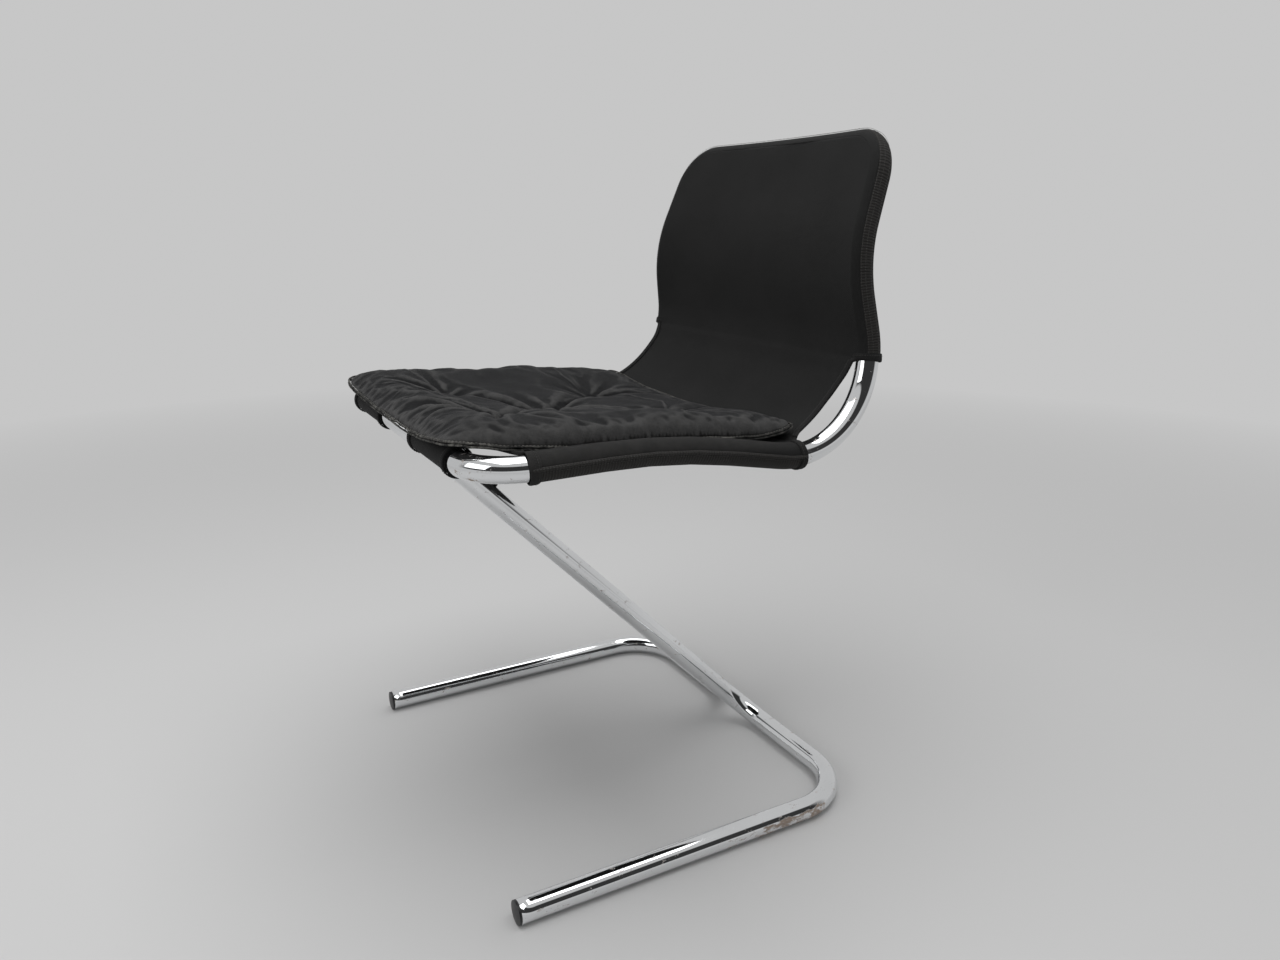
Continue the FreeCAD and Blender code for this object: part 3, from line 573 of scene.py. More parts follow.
def stitch_tree():
    """Small oval stitches set at an even pitch along the edges of a mesh."""
    tree = bpy.data.node_groups.new("stitch run", "GeometryNodeTree")
    for word, kind, way in (("Geometry", "Geometry", "INPUT"), ("Pitch", "Float", "INPUT"),
                            ("Stitch Length", "Float", "INPUT"), ("Thread Radius", "Float", "INPUT"),
                            ("Thread", "Material", "INPUT"), ("Geometry", "Geometry", "OUTPUT")):
        tree.interface.new_socket(word, in_out=way, socket_type="NodeSocket" + kind)
    g = Nodes(tree)
    given = tree.nodes.new("NodeGroupInput").outputs
    curve = g.node("GeometryNodeMeshToCurve", 0, {0: given["Geometry"]})
    points = g.node("GeometryNodeCurveToPoints", "Points", {"Curve": curve, "Length": given["Pitch"]}, mode="LENGTH")
    oval = g.node("GeometryNodeMeshUVSphere", "Mesh", {"Segments": 6, "Rings": 5})
    size = g.node("CombineXYZ", 0, {0: given["Thread Radius"], 1: given["Thread Radius"], 2: given["Stitch Length"]})
    sewn = g.node("GeometryNodeInstanceOnPoints", 0, {
        "Points": points, "Instance": oval, "Rotation": points.node.outputs["Rotation"], "Scale": size})
    whole = g.node("GeometryNodeRealizeInstances", 0, {0: sewn})
    threaded = g.node("GeometryNodeSetMaterial", 0, {"Geometry": whole, "Material": given["Thread"]})
    g.put(tree.nodes.new("NodeGroupOutput").inputs[0], threaded)
    return tree


STITCHING = stitch_tree()


def stitches(name, runs, pitch, length, radius, material):
    """Stitches along each run of points, in millimetres."""
    points, edges = [], []
    for run in runs:
        first = len(points)
        points += [tuple(point) for point in run]
        edges += [(i, i + 1) for i in range(first, len(points) - 1)]
    mesh = bpy.data.meshes.new(name)
    mesh.from_pydata((np.array(points) * 0.001).tolist(), edges, [])
    obj = placed(name, mesh)
    sewing = obj.modifiers.new("stitches", "NODES")
    sewing.node_group = STITCHING
    values = {"Pitch": pitch * 0.001, "Stitch Length": length * 0.0005, "Thread Radius": radius * 0.001,
              "Thread": material}
    for item in STITCHING.interface.items_tree:
        if item.in_out == "INPUT" and item.name in values:
            sewing[item.identifier] = values[item.name]
    return apply_modifiers(obj)


# Frame tubes

tube = BentLine(TUBE_CORNERS)
front_top = tube.where(2, FRONT_RAIL_Z - 0.5, 500.0)
index = int(np.searchsorted(tube.lengths, front_top + 60.0))
tube.set_normals(index, (0, 0, 1))

left_tube = round_bar("left_chrome_tube", tube.points, TUBE_R, chrome)
right_tube = mirrored(left_tube, "right_chrome_tube")
for piece, node in ((left_tube, "left_frame_tube"), (right_tube, "right_frame_tube")):
    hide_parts(node)
    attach(piece, "root")

for node, material in (("left_end_plug", plastic), ("right_end_plug", plastic), ("top_joint_spigot", steel),
                       ("upper_weld_beads", chrome), ("lower_weld_beads", chrome)):
    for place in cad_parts[node].material_slots:
        place.material = material

# Sling

front_inner = tube.where(0, FRONT_SLEEVE_INNER_X, front_top)
front_outer = tube.where(0, FRONT_SLEEVE_OUTER_X, front_top)
side_front = tube.where(1, SIDE_SLEEVE_FRONT_Y, front_outer)
side_rear = tube.where(1, SIDE_SLEEVE_REAR_Y, side_front)
back_foot = tube.where(2, BACK_SLEEVE_FOOT_Z, side_rear)
corner_start = tube.where(2, TOP_RAIL_Z - TOP_CORNER_R - 4.0, back_foot)
corner_end = tube.where(2, TOP_RAIL_Z - 0.3, corner_start)
corner_middle = (corner_start + corner_end) / 2
U = np.linspace(1.0, -1.0, ACROSS)
# Full in the middle of the cloth, none at its edges
MIDDLE = 1 - U ** 2


def seat_row(y, half, level, hang):
    """One row of the seat cloth across the chair."""
    return np.stack([U * half, np.full(ACROSS, y), level - hang * MIDDLE], -1)


seat_ys, seat_halves, seat_hangs = np.transpose(SEAT_ROWS)
rows = []
for y in np.linspace(seat_ys[0], SIDE_SLEEVE_FRONT_Y - 1.0, 14):
    rows.append(seat_row(y, eased(seat_ys, seat_halves, y), FRONT_RAIL_Z + SLEEVE_R, eased(seat_ys, seat_hangs, y)))
sleeve_from = len(rows)
# Along the side tubes, the cloth leaves the tube at the angle that its hang asks for
side_distances, side_angles = [], []
for y in np.linspace(SIDE_SLEEVE_FRONT_Y, SIDE_SLEEVE_REAR_Y - 1.5, 78):
    hang = float(eased(seat_ys, seat_hangs, y))
    side_angles.append(90.0 + math.degrees(math.atan(2 * hang / SEAT_HALF)))
    side_distances.append(tube.where(1, y, side_front - 5.0))
    point = tube.ring(side_distances[-1:], side_angles[-1:], SLEEVE_R)[0, 0]
    rows.append(seat_row(y, point[0], point[2], hang))
side_distances = np.array(side_distances)
sleeve_to = len(rows)
curve = np.transpose(CURVE_ROWS)
steps = grown_lengths(curve[:2].T)
for s in np.linspace(4.0, steps[-1] - 3.0, 34):
    y, z, slope, half, hang = (float(eased(steps, column, s)) for column in curve)
    up = np.array([0, -math.sin(math.radians(slope)), math.cos(math.radians(slope))])
    base = np.stack([U * half, np.full(ACROSS, y), np.full(ACROSS, z)], -1)
    rows.append(base - hang * MIDDLE[:, None] * up)
curve_to = len(rows)


def back_face(angle, hang):
    """Rows of one ply of the back, between the tubes at the given angle round them."""
    count = 96
    upright = np.linspace(back_foot, corner_middle, count)
    left = tube.ring(upright, [angle], SLEEVE_R)[:, 0]
    right = left * [-1, 1, 1]
    over = corner_middle + (1 - np.abs(U)) * (tube.length - corner_middle)
    top = tube.ring(over, [angle], SLEEVE_R)[:, 0]
    top[U < 0] *= [-1, 1, 1]
    side = 1.0 if angle > 0 else -1.0
    foot = left[0] * [0, 1, 1] + np.stack([U * left[0][0], U * 0, U * 0], -1)
    foot[:, 1] += side * hang * MIDDLE
    v = np.linspace(0, 1, count)[:, None, None]
    u = ((1 - U) / 2)[None, :, None]
    patch = ((1 - u) * left[:, None] + u * right[:, None] + (1 - v) * foot[None] + v * top[None]
             - (1 - u) * (1 - v) * left[0] - u * (1 - v) * right[0] - (1 - u) * v * left[-1] - u * v * right[-1])
    patch[..., 1] += side * hang * MIDDLE[None, :] * np.sin(np.linspace(0, 1, count) * math.pi)[:, None] * 0.8
    return patch


grid = np.array(rows + list(back_face(BACK_FOLD_ANGLE, 6.0)))


def grid_uv(points):
    """Cloth coordinates in metres: across from the middle, and along."""
    across, along = grown_lengths(points, 1), grown_lengths(points, 0)
    middle = points.shape[1] // 2
    return flat_uv(across - across[:, middle][:, None], along[:, middle][:, None])


def lift(points, amount):
    """Moves a grid of points along its own normals."""
    normal = rows_of_units(np.cross(np.gradient(points, axis=0), np.gradient(points, axis=1)))
    return points + normal * amount[..., None]


def wavelets(points, scale, seed):
    """Gentle unevenness of hand-stretched cloth, one value for each point."""
    values = [uneven(x / scale + seed, y / scale, z / scale) for x, y, z in points.reshape(-1, 3)]
    return np.array(values).reshape(points.shape[:-1])


edge_fade = np.minimum(1.0, (1 - np.abs(U)) * 5)[None, :]
grid = lift(grid, wavelets(grid, 75.0, 3.0) * 0.9 * edge_fade)
main_uv = grid_uv(grid)


def cloth_part(name, points, uvs, material, flip=False):
    """A sheet over a grid of points."""
    return mesh_piece(name, points, grid_faces(points.shape[0], points.shape[1], flip=flip), material, uvs)


# The sling's main cloth runs on over the outside of the tubes, at the seat and at the back
parts = [cloth_part("sling_main", grid, main_uv, canvas)]
back_distances = np.linspace(back_foot, corner_middle, 96)
top_distances = corner_middle + (1 - np.abs(U[:ACROSS // 2 + 1])) * (tube.length - corner_middle)
wrap_distances = np.concatenate([back_distances, top_distances[1:]])
side_turns = np.array([np.linspace(angle, SIDE_SEAM_ANGLE, 18) for angle in side_angles])
for side in (1, -1):
    edge = 0 if side > 0 else -1
    at_seat = tube.ring(side_distances, side_turns, SLEEVE_R) * [side, 1, 1]
    at_seat[:, 0] = grid[sleeve_from:sleeve_to, edge]
    at_back = tube.ring(wrap_distances, np.linspace(BACK_FOLD_ANGLE, BACK_SEAM_ANGLE, 10), SLEEVE_R) * [side, 1, 1]
    for strip, along in ((at_seat, main_uv[sleeve_from:sleeve_to, edge, 1] * 1000),
                         (at_back, main_uv[curve_to, 0, 1] * 1000 + wrap_distances - back_foot)):
        uv = flat_uv(side * (-240.0 - grown_lengths(strip, 1)), along[:, None])
        parts.append(cloth_part("sling_wrap", strip, uv, canvas, flip=side > 0))
sling = thickened(joined("sling_cloth", parts))
rear_grid = back_face(-BACK_FOLD_ANGLE, 1.5)
rear = thickened(cloth_part("back_rear_cloth", rear_grid, grid_uv(rear_grid), canvas, flip=True))


def sleeve_pair(name, distances, angles, material):
    """Strips of cloth round the left tube and the right one."""
    pair = []
    for side, word in ((1, "left_"), (-1, "right_")):
        strip = tube.ring(distances, angles, SLEEVE_R) * [side, 1, 1]
        uv = flat_uv(grown_lengths(strip, 1), distances[:, None])
        pair.append(thickened(cloth_part(word + name, strip, uv, material, flip=side > 0)))
    return pair


band_turns = np.linspace(BACK_SEAM_ANGLE, -BACK_FOLD_ANGLE, 22)
band = joined("back_edge_band", sleeve_pair("band", wrap_distances, band_turns, ribbed))
under = sleeve_pair("under_sleeve", side_distances, np.linspace(SIDE_SEAM_ANGLE, -215.0, 34), ribbed)
front_distances = np.linspace(front_inner, front_outer, 30)
front_wraps = sleeve_pair("front_wrap", front_distances, np.linspace(88.0, -225.0, 48), canvas)


# Hems, bindings and seams of the sling

# Profiles: the first two sideways and outwards, the hem along the tube and outwards
BINDING = (
    (-1.5, 0), (-1.1, 1.2), (0, 1.7), (5.8, 1.6), (6.6, 0.9), (6.6, -0.9), (5.8, -1.6), (0, -1.7), (-1.1, -1.2),
)
RAISED_SEAM = ((-2.2, -0.3), (-1.4, 0.8), (-0.4, 1.25), (0.6, 1.2), (1.6, 0.7), (2.2, -0.3))
HEM = ((0.0, 0.2), (-0.4, 0.8), (0.0, 1.5), (1.5, 1.8), (5.0, 1.7), (7.4, 1.5), (8.0, 1.1), (8.0, 0.2), (0.0, 0.2))
HEM_DEPTH = 8.0


def edge_binding(name, span):
    """A folded binding along a free edge of the cloth, and its lines of stitches."""
    edge, inner = grid[span, 0], grid[span, 4]
    sideways = rows_of_units(inner - edge)
    normals = rows_of_units(np.cross(np.gradient(edge, axis=0), sideways))
    obj = swept(name, edge, sideways, normals, BINDING, canvas)
    return obj, [edge + sideways * 4.6 + normals * side for side in (1.75, -1.75)]


def mouth_hem(edge, inward, slant=0.0, flare=0.15):
    """The turned hem at a sleeve's mouth; a slant brings its upper side further out."""
    angles = np.linspace(0, 360, 49)
    shift = -inward * slant * (0.5 + 0.5 * np.sin(np.radians(angles)))
    along, out = np.array(HEM).T[..., None]
    outer = 1 - along / HEM_DEPTH
    rows = tube.ring(edge + shift * outer + inward * along, angles, SLEEVE_R + out + flare * outer)
    uv = flat_uv(np.radians(angles) * SLEEVE_R, along + out)
    obj = faced_out(cloth_part("hem", rows, uv, canvas))
    line = tube.ring((edge + shift * 0.3 + inward * 5.6)[None, :], angles, SLEEVE_R + 1.9)[0]
    return obj, line


hems, sewn = [], []
for edge, inward, slant in ((side_front - 1.0, 1, 1.5), (side_rear + 0.5, -1, 0.0), (front_inner, 1, 0.0),
                            (front_outer, -1, 0.0), (back_foot - 0.5, 1, 0.0)):
    obj, line = mouth_hem(edge, inward, slant)
    hems.append(obj)
    sewn.append(line)
left_trim = {"left_sleeve_hems": joined("left_sleeve_hems", hems)}
for name, span in (("left_rear_binding", slice(sleeve_to, curve_to + 2)),
                   ("left_corner_binding", slice(0, sleeve_from))):
    left_trim[name], lines = edge_binding(name, span)
    sewn += lines


def sleeve_line(distances, angle, out):
    """A line along the tube, the given height off its sleeve."""
    return tube.ring(distances, [angle], SLEEVE_R + out)[:, 0]


seam_places = sleeve_line(side_distances, SIDE_SEAM_ANGLE, CLOTH)
seam_out = rows_of_units(sleeve_line(side_distances, SIDE_SEAM_ANGLE, 9.0) - seam_places)
seam_side = rows_of_units(sleeve_line(side_distances, SIDE_SEAM_ANGLE + 4, CLOTH) - seam_places)
left_trim["left_side_seam"] = swept("left_side_seam", seam_places, seam_side, seam_out, RAISED_SEAM, ribbed)
seam_runs = [sleeve_line(side_distances, SIDE_SEAM_ANGLE + 2, CLOTH + 1.2)]
sewn += [sleeve_line(side_distances, SIDE_SEAM_ANGLE - 12, CLOTH + 0.1)]
sewn += [sleeve_line(wrap_distances, angle, CLOTH + 0.1) for angle in (BACK_SEAM_ANGLE - 4, 28.0, 2.0)]

# A loop of webbing under the front corner
TAB_INNER, TAB_OUTER, TAB_Y, TAB_LOW, TAB_HIGH = 196.0, 208.0, -222.4, 445.5, 468.0
turns = np.radians(np.linspace(180, 360, 9))
drop = np.concatenate([
    [(TAB_Y - 1.4, z) for z in np.linspace(TAB_HIGH, TAB_LOW, 8)[:-1]],
    np.column_stack([TAB_Y + 1.4 * np.cos(turns), TAB_LOW + 2.2 * np.sin(turns)]),
    [(TAB_Y + 1.2, z) for z in np.linspace(TAB_LOW, TAB_HIGH, 8)[1:]],
])
across = np.linspace(TAB_INNER, TAB_OUTER, 7)
tab = np.array([[(x, y + 0.5 * math.sin(x * 0.5 + z * 0.2), z) for x in across] for y, z in drop])
left_trim["left_tab_loop"] = thickened(cloth_part("left_tab_loop", tab, grid_uv(tab), webbing), -1.0)

trim = dict(left_trim)
for name, obj in left_trim.items():
    other = name.replace("left", "right")
    trim[other] = mirrored(obj, other)
sewn += [line * [-1, 1, 1] for line in sewn]
seam_runs += [line * [-1, 1, 1] for line in seam_runs]
sling_stitches = stitches("sling_stitches", sewn, 2.7, 1.9, 0.26, dark_thread)
seam_stitches = stitches("side_seam_stitches", seam_runs, 3.2, 2.2, 0.26, dark_thread)


# Pad

# Half of the pad's seam line, from the middle of its front to the middle of its rear: x, y, z
PAD_OUTLINE = (
    (0, -263, 473), (60, -263, 472.5), (100, -264, 475), (130, -265, 477), (160, -266, 481), (185, -264, 484),
    (203, -254, 485), (213, -238, 483.5), (216, -220, 480.5), (216.5, -196, 476.5), (216, -166, 472.5),
    (215.5, -150, 471), (214.5, -100, 469), (214, -50, 466.5), (214, 0, 462.5), (214.5, 40, 458.5), (215, 60, 458),
    (215, 80, 459.5), (214, 95, 461.5), (210, 106, 463.8), (200, 111, 463), (160, 112, 459), (100, 112, 454),
    (0, 112, 451),
)
# Tufts: x, y, height of the tied-down top
TUFTS = (
    (0.0, -79.5, 458.0), (-88.0, -172.5, 475.0), (-92.0, 18.5, 459.0), (92.0, -172.5, 475.0), (94.0, 16.0, 459.0),
)
# Longer folds seen on the pad: start, end, depth and width
PAD_FOLDS = (
    ((92, -172), (14, -252), 4.5, 6.0), ((92, -172), (30, -257), 4.0, 5.0), ((92, -172), (52, -259), 4.5, 5.0),
    ((92, -172), (84, -258), 4.0, 6.0), ((92, -172), (-72, -258), 5.0, 8.0), ((92, -172), (4, -84), 6.0, 9.0),
    ((0, -79.5), (-88, -172), 5.5, 9.0), ((0, -79.5), (-80, -103), 3.5, 7.0), ((0, -79.5), (92, 16), 6.0, 9.0),
    ((0, -79.5), (-92, 18), 6.0, 9.0), ((-92, 18.5), (-127, 70), 4.0, 6.0), ((-92, 18.5), (-150, 30), 3.5, 6.0),
    ((-92, 18.5), (-60, 100), 4.0, 7.0), ((94, 16), (30, 4), 4.5, 6.0), ((94, 16), (170, 60), 4.0, 7.0),
    ((94, 16), (60, 100), 4.0, 7.0), ((-88, -172.5), (-150, -240), 4.0, 6.0), ((-88, -172.5), (-196, -180), 4.0, 6.0),
    ((92, -172), (196, -150), 4.0, 6.5), ((92, -172), (190, -215), 4.0, 6.0), ((0, -79.5), (120, -90), 4.0, 8.0),
)
# Sharp ridges rubbed pale by use: their points on the pad, and their height, drawn out by the growth
RIDGE_GROWTH = 1.35
PAD_RIDGES = (
    (((84, -186), (60, -204), (30, -222), (-18, -250)), 1.0),
    (((86, -190), (66, -214), (53, -228), (44, -252)), 1.1),
    (((90, -194), (80, -215), (74, -240), (78, -256)), 1.1), (((97, -196), (96, -229), (103, -254)), 0.9),
    (((84, -178), (34, -186), (-32, -197), (-72, -205)), 1.3), (((-72, -205), (-62, -228), (-48, -254)), 1.1),
    (((80, -182), (39, -190), (12, -211), (-20, -232), (-40, -254)), 1.0),
    (((104, -178), (150, -190), (196, -200)), 0.9),
    (((106, -166), (150, -150), (198, -140)), 0.9), (((98, -158), (120, -120), (160, -96)), 0.8),
    (((10, -90), (50, -118), (84, -150)), 1.2), (((12, -72), (60, -50), (110, -60), (170, -66)), 1.0),
    (((8, -66), (40, -30), (84, 4)), 1.1), (((-10, -70), (-50, -30), (-86, 10)), 1.1),
    (((108, 10), (150, 0), (196, -14)), 1.0), (((104, 28), (150, 52), (196, 66)), 1.0),
    (((92, 30), (96, 64), (120, 98)), 0.9),
    (((-80, 26), (-40, 50), (20, 60), (84, 30)), 1.1), (((-90, 34), (-84, 70), (-60, 102)), 0.9),
    (((-104, 14), (-150, 4), (-196, 10)), 0.9), (((-100, -176), (-150, -190), (-198, -196)), 0.9),
    (((-92, -186), (-104, -220), (-126, -252)), 1.0), (((-14, -86), (-50, -130), (-78, -162)), 1.1),
)
PAD_SPACING = 4.0
PAD_CENTRE = (0.0, -76.0)
rng = np.random.default_rng(7)


def seat_surface(x, y):
    """The top of the seat cloth under the pad."""
    rail_top = FRONT_RAIL_Z + SLEEVE_R + CLOTH
    hang = eased(seat_ys, seat_hangs, y)
    level = eased([-251.5, -205.0, -52.9, 20.0, 103.5], [475.0, 475.4, 476.4, 470.0, 454.8], y)
    level = np.where(y > 100, 454.5 + (y - 100) * 0.35, level)
    z = level + CLOTH - hang * (1 - (x / SEAT_HALF) ** 2)
    past = np.clip((FRONT_RAIL_Y - y) / 17.0, 0, 1)
    return np.where(y < FRONT_RAIL_Y, rail_top + (471.0 - rail_top) * past ** 2, z)


def pad_outline(spacing):
    """The closed seam line, with the small waves of a hand-sewn edge."""
    given = np.array(PAD_OUTLINE, float)
    s = grown_lengths(given[:, :2])
    at = np.linspace(0, s[-1], int(s[-1] / spacing) + 1)
    half = np.stack([eased(s, given[:, k], at) for k in range(3)], -1)
    line = np.concatenate([half, half[-2:0:-1] * [-1, 1, 1]])
    for p in line:
        p[2] += 1.3 * uneven(p[0] / 26, p[1] / 26, 1.7) * min(1.0, (p[1] + 285) / 60)
        p[:2] *= 1 + 0.004 * uneven(p[0] / 30, p[1] / 30, 5.1)
    return line


def pad_plan(spacing, line):
    """Triangles over the pad's plan, from evenly scattered points inside its outline."""
    step_y = spacing * math.sqrt(3) / 2
    points = [(-220 + (c + 0.5 * (r % 2)) * spacing, -270 + r * step_y)
              for r in range(int(400 / step_y)) for c in range(int(440 / spacing) + 1)]
    points = np.array(points) + rng.uniform(-0.28, 0.28, (len(points), 2)) * spacing
    ring = line[:, :2]
    (ax, ay), (bx, by) = ring.T, np.roll(ring, -1, axis=0).T
    px, py = points.T[..., None]
    gap = np.hypot(px - ax[::2], py - ay[::2]).min(1)
    rise = np.where(by == ay, 1e-9, by - ay)
    crossed = ((ay > py) != (by > py)) & (px < ax + (py - ay) * (bx - ax) / rise)
    points = points[(crossed.sum(1) % 2 == 1) & (gap > spacing * 0.62)]
    every = [Vector(p) for p in np.concatenate([ring, points])]
    edges = [(i, (i + 1) % len(ring)) for i in range(len(ring))]
    verts, _, faces, *_ = geometry.delaunay_2d_cdt(every, edges, [], 1, 1e-5)
    return np.array([tuple(v) for v in verts]), [tuple(f) for f in faces]


def seam_distance(x, y, line):
    """Distance to the seam line, and the seam's height close by."""
    gap = np.hypot(x[:, None] - line[:, 0], y[:, None] - line[:, 1])
    weight = np.exp(-(gap - gap.min(1)[:, None]) / 14.0)
    return gap.min(1), (weight * line[:, 2]).sum(1) / weight.sum(1)


def fold(x, y, start, end, depth, width):
    """A groove with raised banks between two points; it fades at its far end."""
    start, end = np.array(start, float), np.array(end, float)
    along = unit(end - start)
    length = np.linalg.norm(end - start)
    t = ((x - start[0]) * along[0] + (y - start[1]) * along[1]) / length
    off = np.abs((x - start[0]) * along[1] - (y - start[1]) * along[0])
    spread = width * (0.45 + 0.9 * np.clip(t, 0, 1))
    fade = np.clip(t / 0.1, 0, 1) * np.clip((1 - t) / 0.45, 0, 1) ** 0.8
    banks = 0.5 * np.exp(-((off - 2.0 * spread) / spread) ** 2)
    return depth * fade * (np.exp(-(off / spread) ** 2) - banks)


def pad_top(x, y, line):
    """Height of the top cover before the simulation."""
    d, seam_z = seam_distance(x, y, line)
    towards_front = np.exp(-np.clip(y + 262, 0, None) / 55.0) * np.clip((215 - np.abs(x)) / 40, 0, 1)
    near = np.clip(d / (27.0 + 36.0 * towards_front), 0, 1)
    rise = np.sqrt(1 - (1 - near) ** 2)
    loft = eased([-263, -205, -150, -107, -44, 10, 60, 112], [21.0, 24.0, 24.0, 22.0, 20.5, 18.0, 18.5, 18.5], y)
    loft = loft - 7.0 * np.exp(-(x / 105.0) ** 2) - 5.0 * np.clip((20.0 - x) / 130.0, 0, 1)
    z = seam_z * (1 - rise) + (seat_surface(x, y) + loft) * rise
    for tx, ty, tz in TUFTS:
        r = np.hypot(x - tx, y - ty)
        depth = np.clip(seat_surface(np.array([tx]), np.array([ty]))[0] + 20.0 - tz, 6, 30)
        z = z - depth * np.exp(-(r / 24.0) ** 1.15)
        for turn in np.linspace(0, 2 * math.pi, 7, endpoint=False) + rng.uniform(-0.25, 0.25, 7):
            reach = rng.uniform(30, 62)
            end = (tx + math.cos(turn) * reach, ty + math.sin(turn) * reach)
            z = z - fold(x, y, (tx, ty), end, rng.uniform(1.0, 2.4), 5.0)
    for start, end, depth, width in PAD_FOLDS:
        z = z - fold(x, y, start, end, depth, width)
    pucker = np.array([uneven(a / 11.0, b / 11.0, 9.0) for a, b in zip(x, y)])
    crumple = np.array([uneven(a / 34.0, b / 22.0, 2.0) for a, b in zip(x, y)])
    return z + pucker * 1.2 * np.exp(-d / 26.0) * np.clip(d / 5.0, 0, 1) + crumple * 1.4 * np.clip(d / 20.0, 0, 1)


seam_line = pad_outline(4.0)
plan, plan_faces = pad_plan(PAD_SPACING, seam_line)
seam_count = len(seam_line)
under_plan, under_faces = pad_plan(9.0, seam_line)
x, y = plan[:, 0], plan[:, 1]
top_z = pad_top(x, y, seam_line)
top_z[:seam_count] = seam_line[:, 2]
bx, by = under_plan[:, 0], under_plan[:, 1]
d, near_z = seam_distance(bx, by, seam_line)
stay = np.exp(-(d / 26.0) ** 1.5)
rest_z = seat_surface(bx, by) + 0.9
under_z = rest_z * (1 - stay) + np.maximum(near_z, rest_z) * stay
under_z[:seam_count] = seam_line[:, 2]

shift = len(plan) - seam_count
pad_points = np.concatenate([np.column_stack([plan, top_z]), np.column_stack([under_plan, under_z])[seam_count:]])
turned = [tuple(i if i < seam_count else i + shift for i in face)[::-1] for face in under_faces]
pad = mesh_piece("seat_pad", pad_points, plan_faces + turned, pad_cloth, pad_points[:, :2] * 0.001)


def simulate(obj, held, frames, pressure, cap):
    """Lets the cover swell and settle as cloth, and caps how far each point moves."""
    before = vertex_values(obj.data, "co")
    group = obj.vertex_groups.new(name="held")
    group.add([int(i) for i in held], 1.0, "REPLACE")
    cloth = obj.modifiers.new("cloth", "CLOTH")
    for key, value in {"quality": 6, "mass": 0.2, "tension_stiffness": 14.0, "compression_stiffness": 14.0,
                       "shear_stiffness": 6.0, "bending_stiffness": 0.25, "shrink_min": -0.012, "use_pressure": True,
                       "uniform_pressure_force": pressure, "vertex_group_mass": "held"}.items():
        setattr(cloth.settings, key, value)
    cloth.settings.effector_weights.gravity = 0.0
    cloth.point_cache.frame_start = 1
    cloth.point_cache.frame_end = frames
    for number in range(1, frames + 1):
        bpy.context.scene.frame_set(number)
    graph = bpy.context.evaluated_depsgraph_get()
    move = vertex_values(obj.evaluated_get(graph).to_mesh(), "co") - before
    obj.evaluated_get(graph).to_mesh_clear()
    obj.modifiers.clear()
    obj.vertex_groups.clear()
    bpy.context.scene.frame_set(1)
    move *= np.minimum(1.0, cap / np.maximum(np.linalg.norm(move, axis=1), 1e-9))[:, None]
    obj.data.vertices.foreach_set("co", (before + move).ravel())
    obj.data.update()


tuft_points = np.zeros(len(plan), bool)
for tx, ty, _ in TUFTS:
    tuft_points |= np.hypot(plan[:, 0] - tx, plan[:, 1] - ty) < 4.0
held = np.concatenate([np.nonzero(tuft_points)[0], np.arange(seam_count), np.arange(len(plan), len(pad_points))])
simulate(pad, held, frames=18, pressure=2.2, cap=0.006)
more = pad.modifiers.new("finer", "SUBSURF")
more.levels = more.render_levels = 1
apply_modifiers(pad)


def raise_ridges(obj, ridges, half_width=1.7):
    """Lifts the pad's top into sharp ridges that fade at both ends."""
    mesh = obj.data
    co, up = vertex_values(mesh, "co"), vertex_values(mesh, "normal")[:, 2]
    plan = co[:, :2] * 1000
    rise = np.zeros(len(co))
    for points, height in ridges:
        points = np.array(points, float)
        best, share = np.full(len(co), 1e9), np.zeros(len(co))
        for i, (a, b) in enumerate(zip(points, points[1:])):
            t = np.clip(((plan - a) @ (b - a)) / np.dot(b - a, b - a), 0, 1)
            gap = np.linalg.norm(plan - a - t[:, None] * (b - a), axis=1)
            closer = gap < best
            best[closer], share[closer] = gap[closer], ((i + t) / (len(points) - 1))[closer]
        fade = np.sin(math.pi * np.clip(share, 0.02, 0.98)) ** 0.5
        rise += RIDGE_GROWTH * height * fade * np.exp(-(best / half_width) ** 2)
    co[:, 2] += rise * (up > 0.15) * 0.001
    mesh.vertices.foreach_set("co", co.ravel())
    mesh.update()


def worn_ridges(obj, base=0.35):
    """Stores 'wear': high on ridges and low in hollows, from the mesh's own shape."""
    mesh = obj.data
    count = len(mesh.vertices)
    co = vertex_values(mesh, "co")
    pairs = np.zeros(len(mesh.edges) * 2, dtype=np.int64)
    mesh.edges.foreach_get("vertices", pairs)
    a, b = pairs.reshape(-1, 2).T
    degree = np.bincount(a, minlength=count) + np.bincount(b, minlength=count)
    smooth = co.copy()
    for _ in range(14):
        mean = np.zeros_like(co)
        for k in range(3):
            mean[:, k] = (np.bincount(a, smooth[b, k], count) + np.bincount(b, smooth[a, k], count)) / degree
        smooth = mean
    proud = ((co - smooth) * vertex_values(mesh, "normal")).sum(1) * 1000
    wear = np.clip(base + proud * 0.85, 0, 1)
    layer = mesh.attributes.new("wear", "FLOAT", "POINT")
    layer.data.foreach_set("value", wear.astype(np.float32))


raise_ridges(pad, PAD_RIDGES)
worn_ridges(pad)


def seam_cord(name, offset_out, offset_up, radius, seed):
    """A rolled, uneven edge of cloth round the pad's seam."""
    points = []
    for p in pad_outline(3.0):
        out = unit((p[:2] - PAD_CENTRE) / [1.0, 0.9])
        jitter = uneven(p[0] / 9, p[1] / 9, seed)
        points.append((p[0] + out[0] * offset_out, p[1] + out[1] * offset_out, p[2] + offset_up + 0.5 * jitter))
    return round_bar(name, points, radius, worn_edge, sides=8, closed=True)


seam = joined("pad_edge_seam", [seam_cord("seam_a", 1.2, 1.2, 1.05, 1.0), seam_cord("seam_b", 1.7, -1.3, 1.05, 6.0)])
edge_run = [point + [0, 0, 2.2] for point in pad_outline(3.0)]
pad_stitches = stitches("pad_edge_stitches", [edge_run + edge_run[:1]], 3.6, 2.5, 0.3, pale_thread)

# What each piece stands for, and its material slot

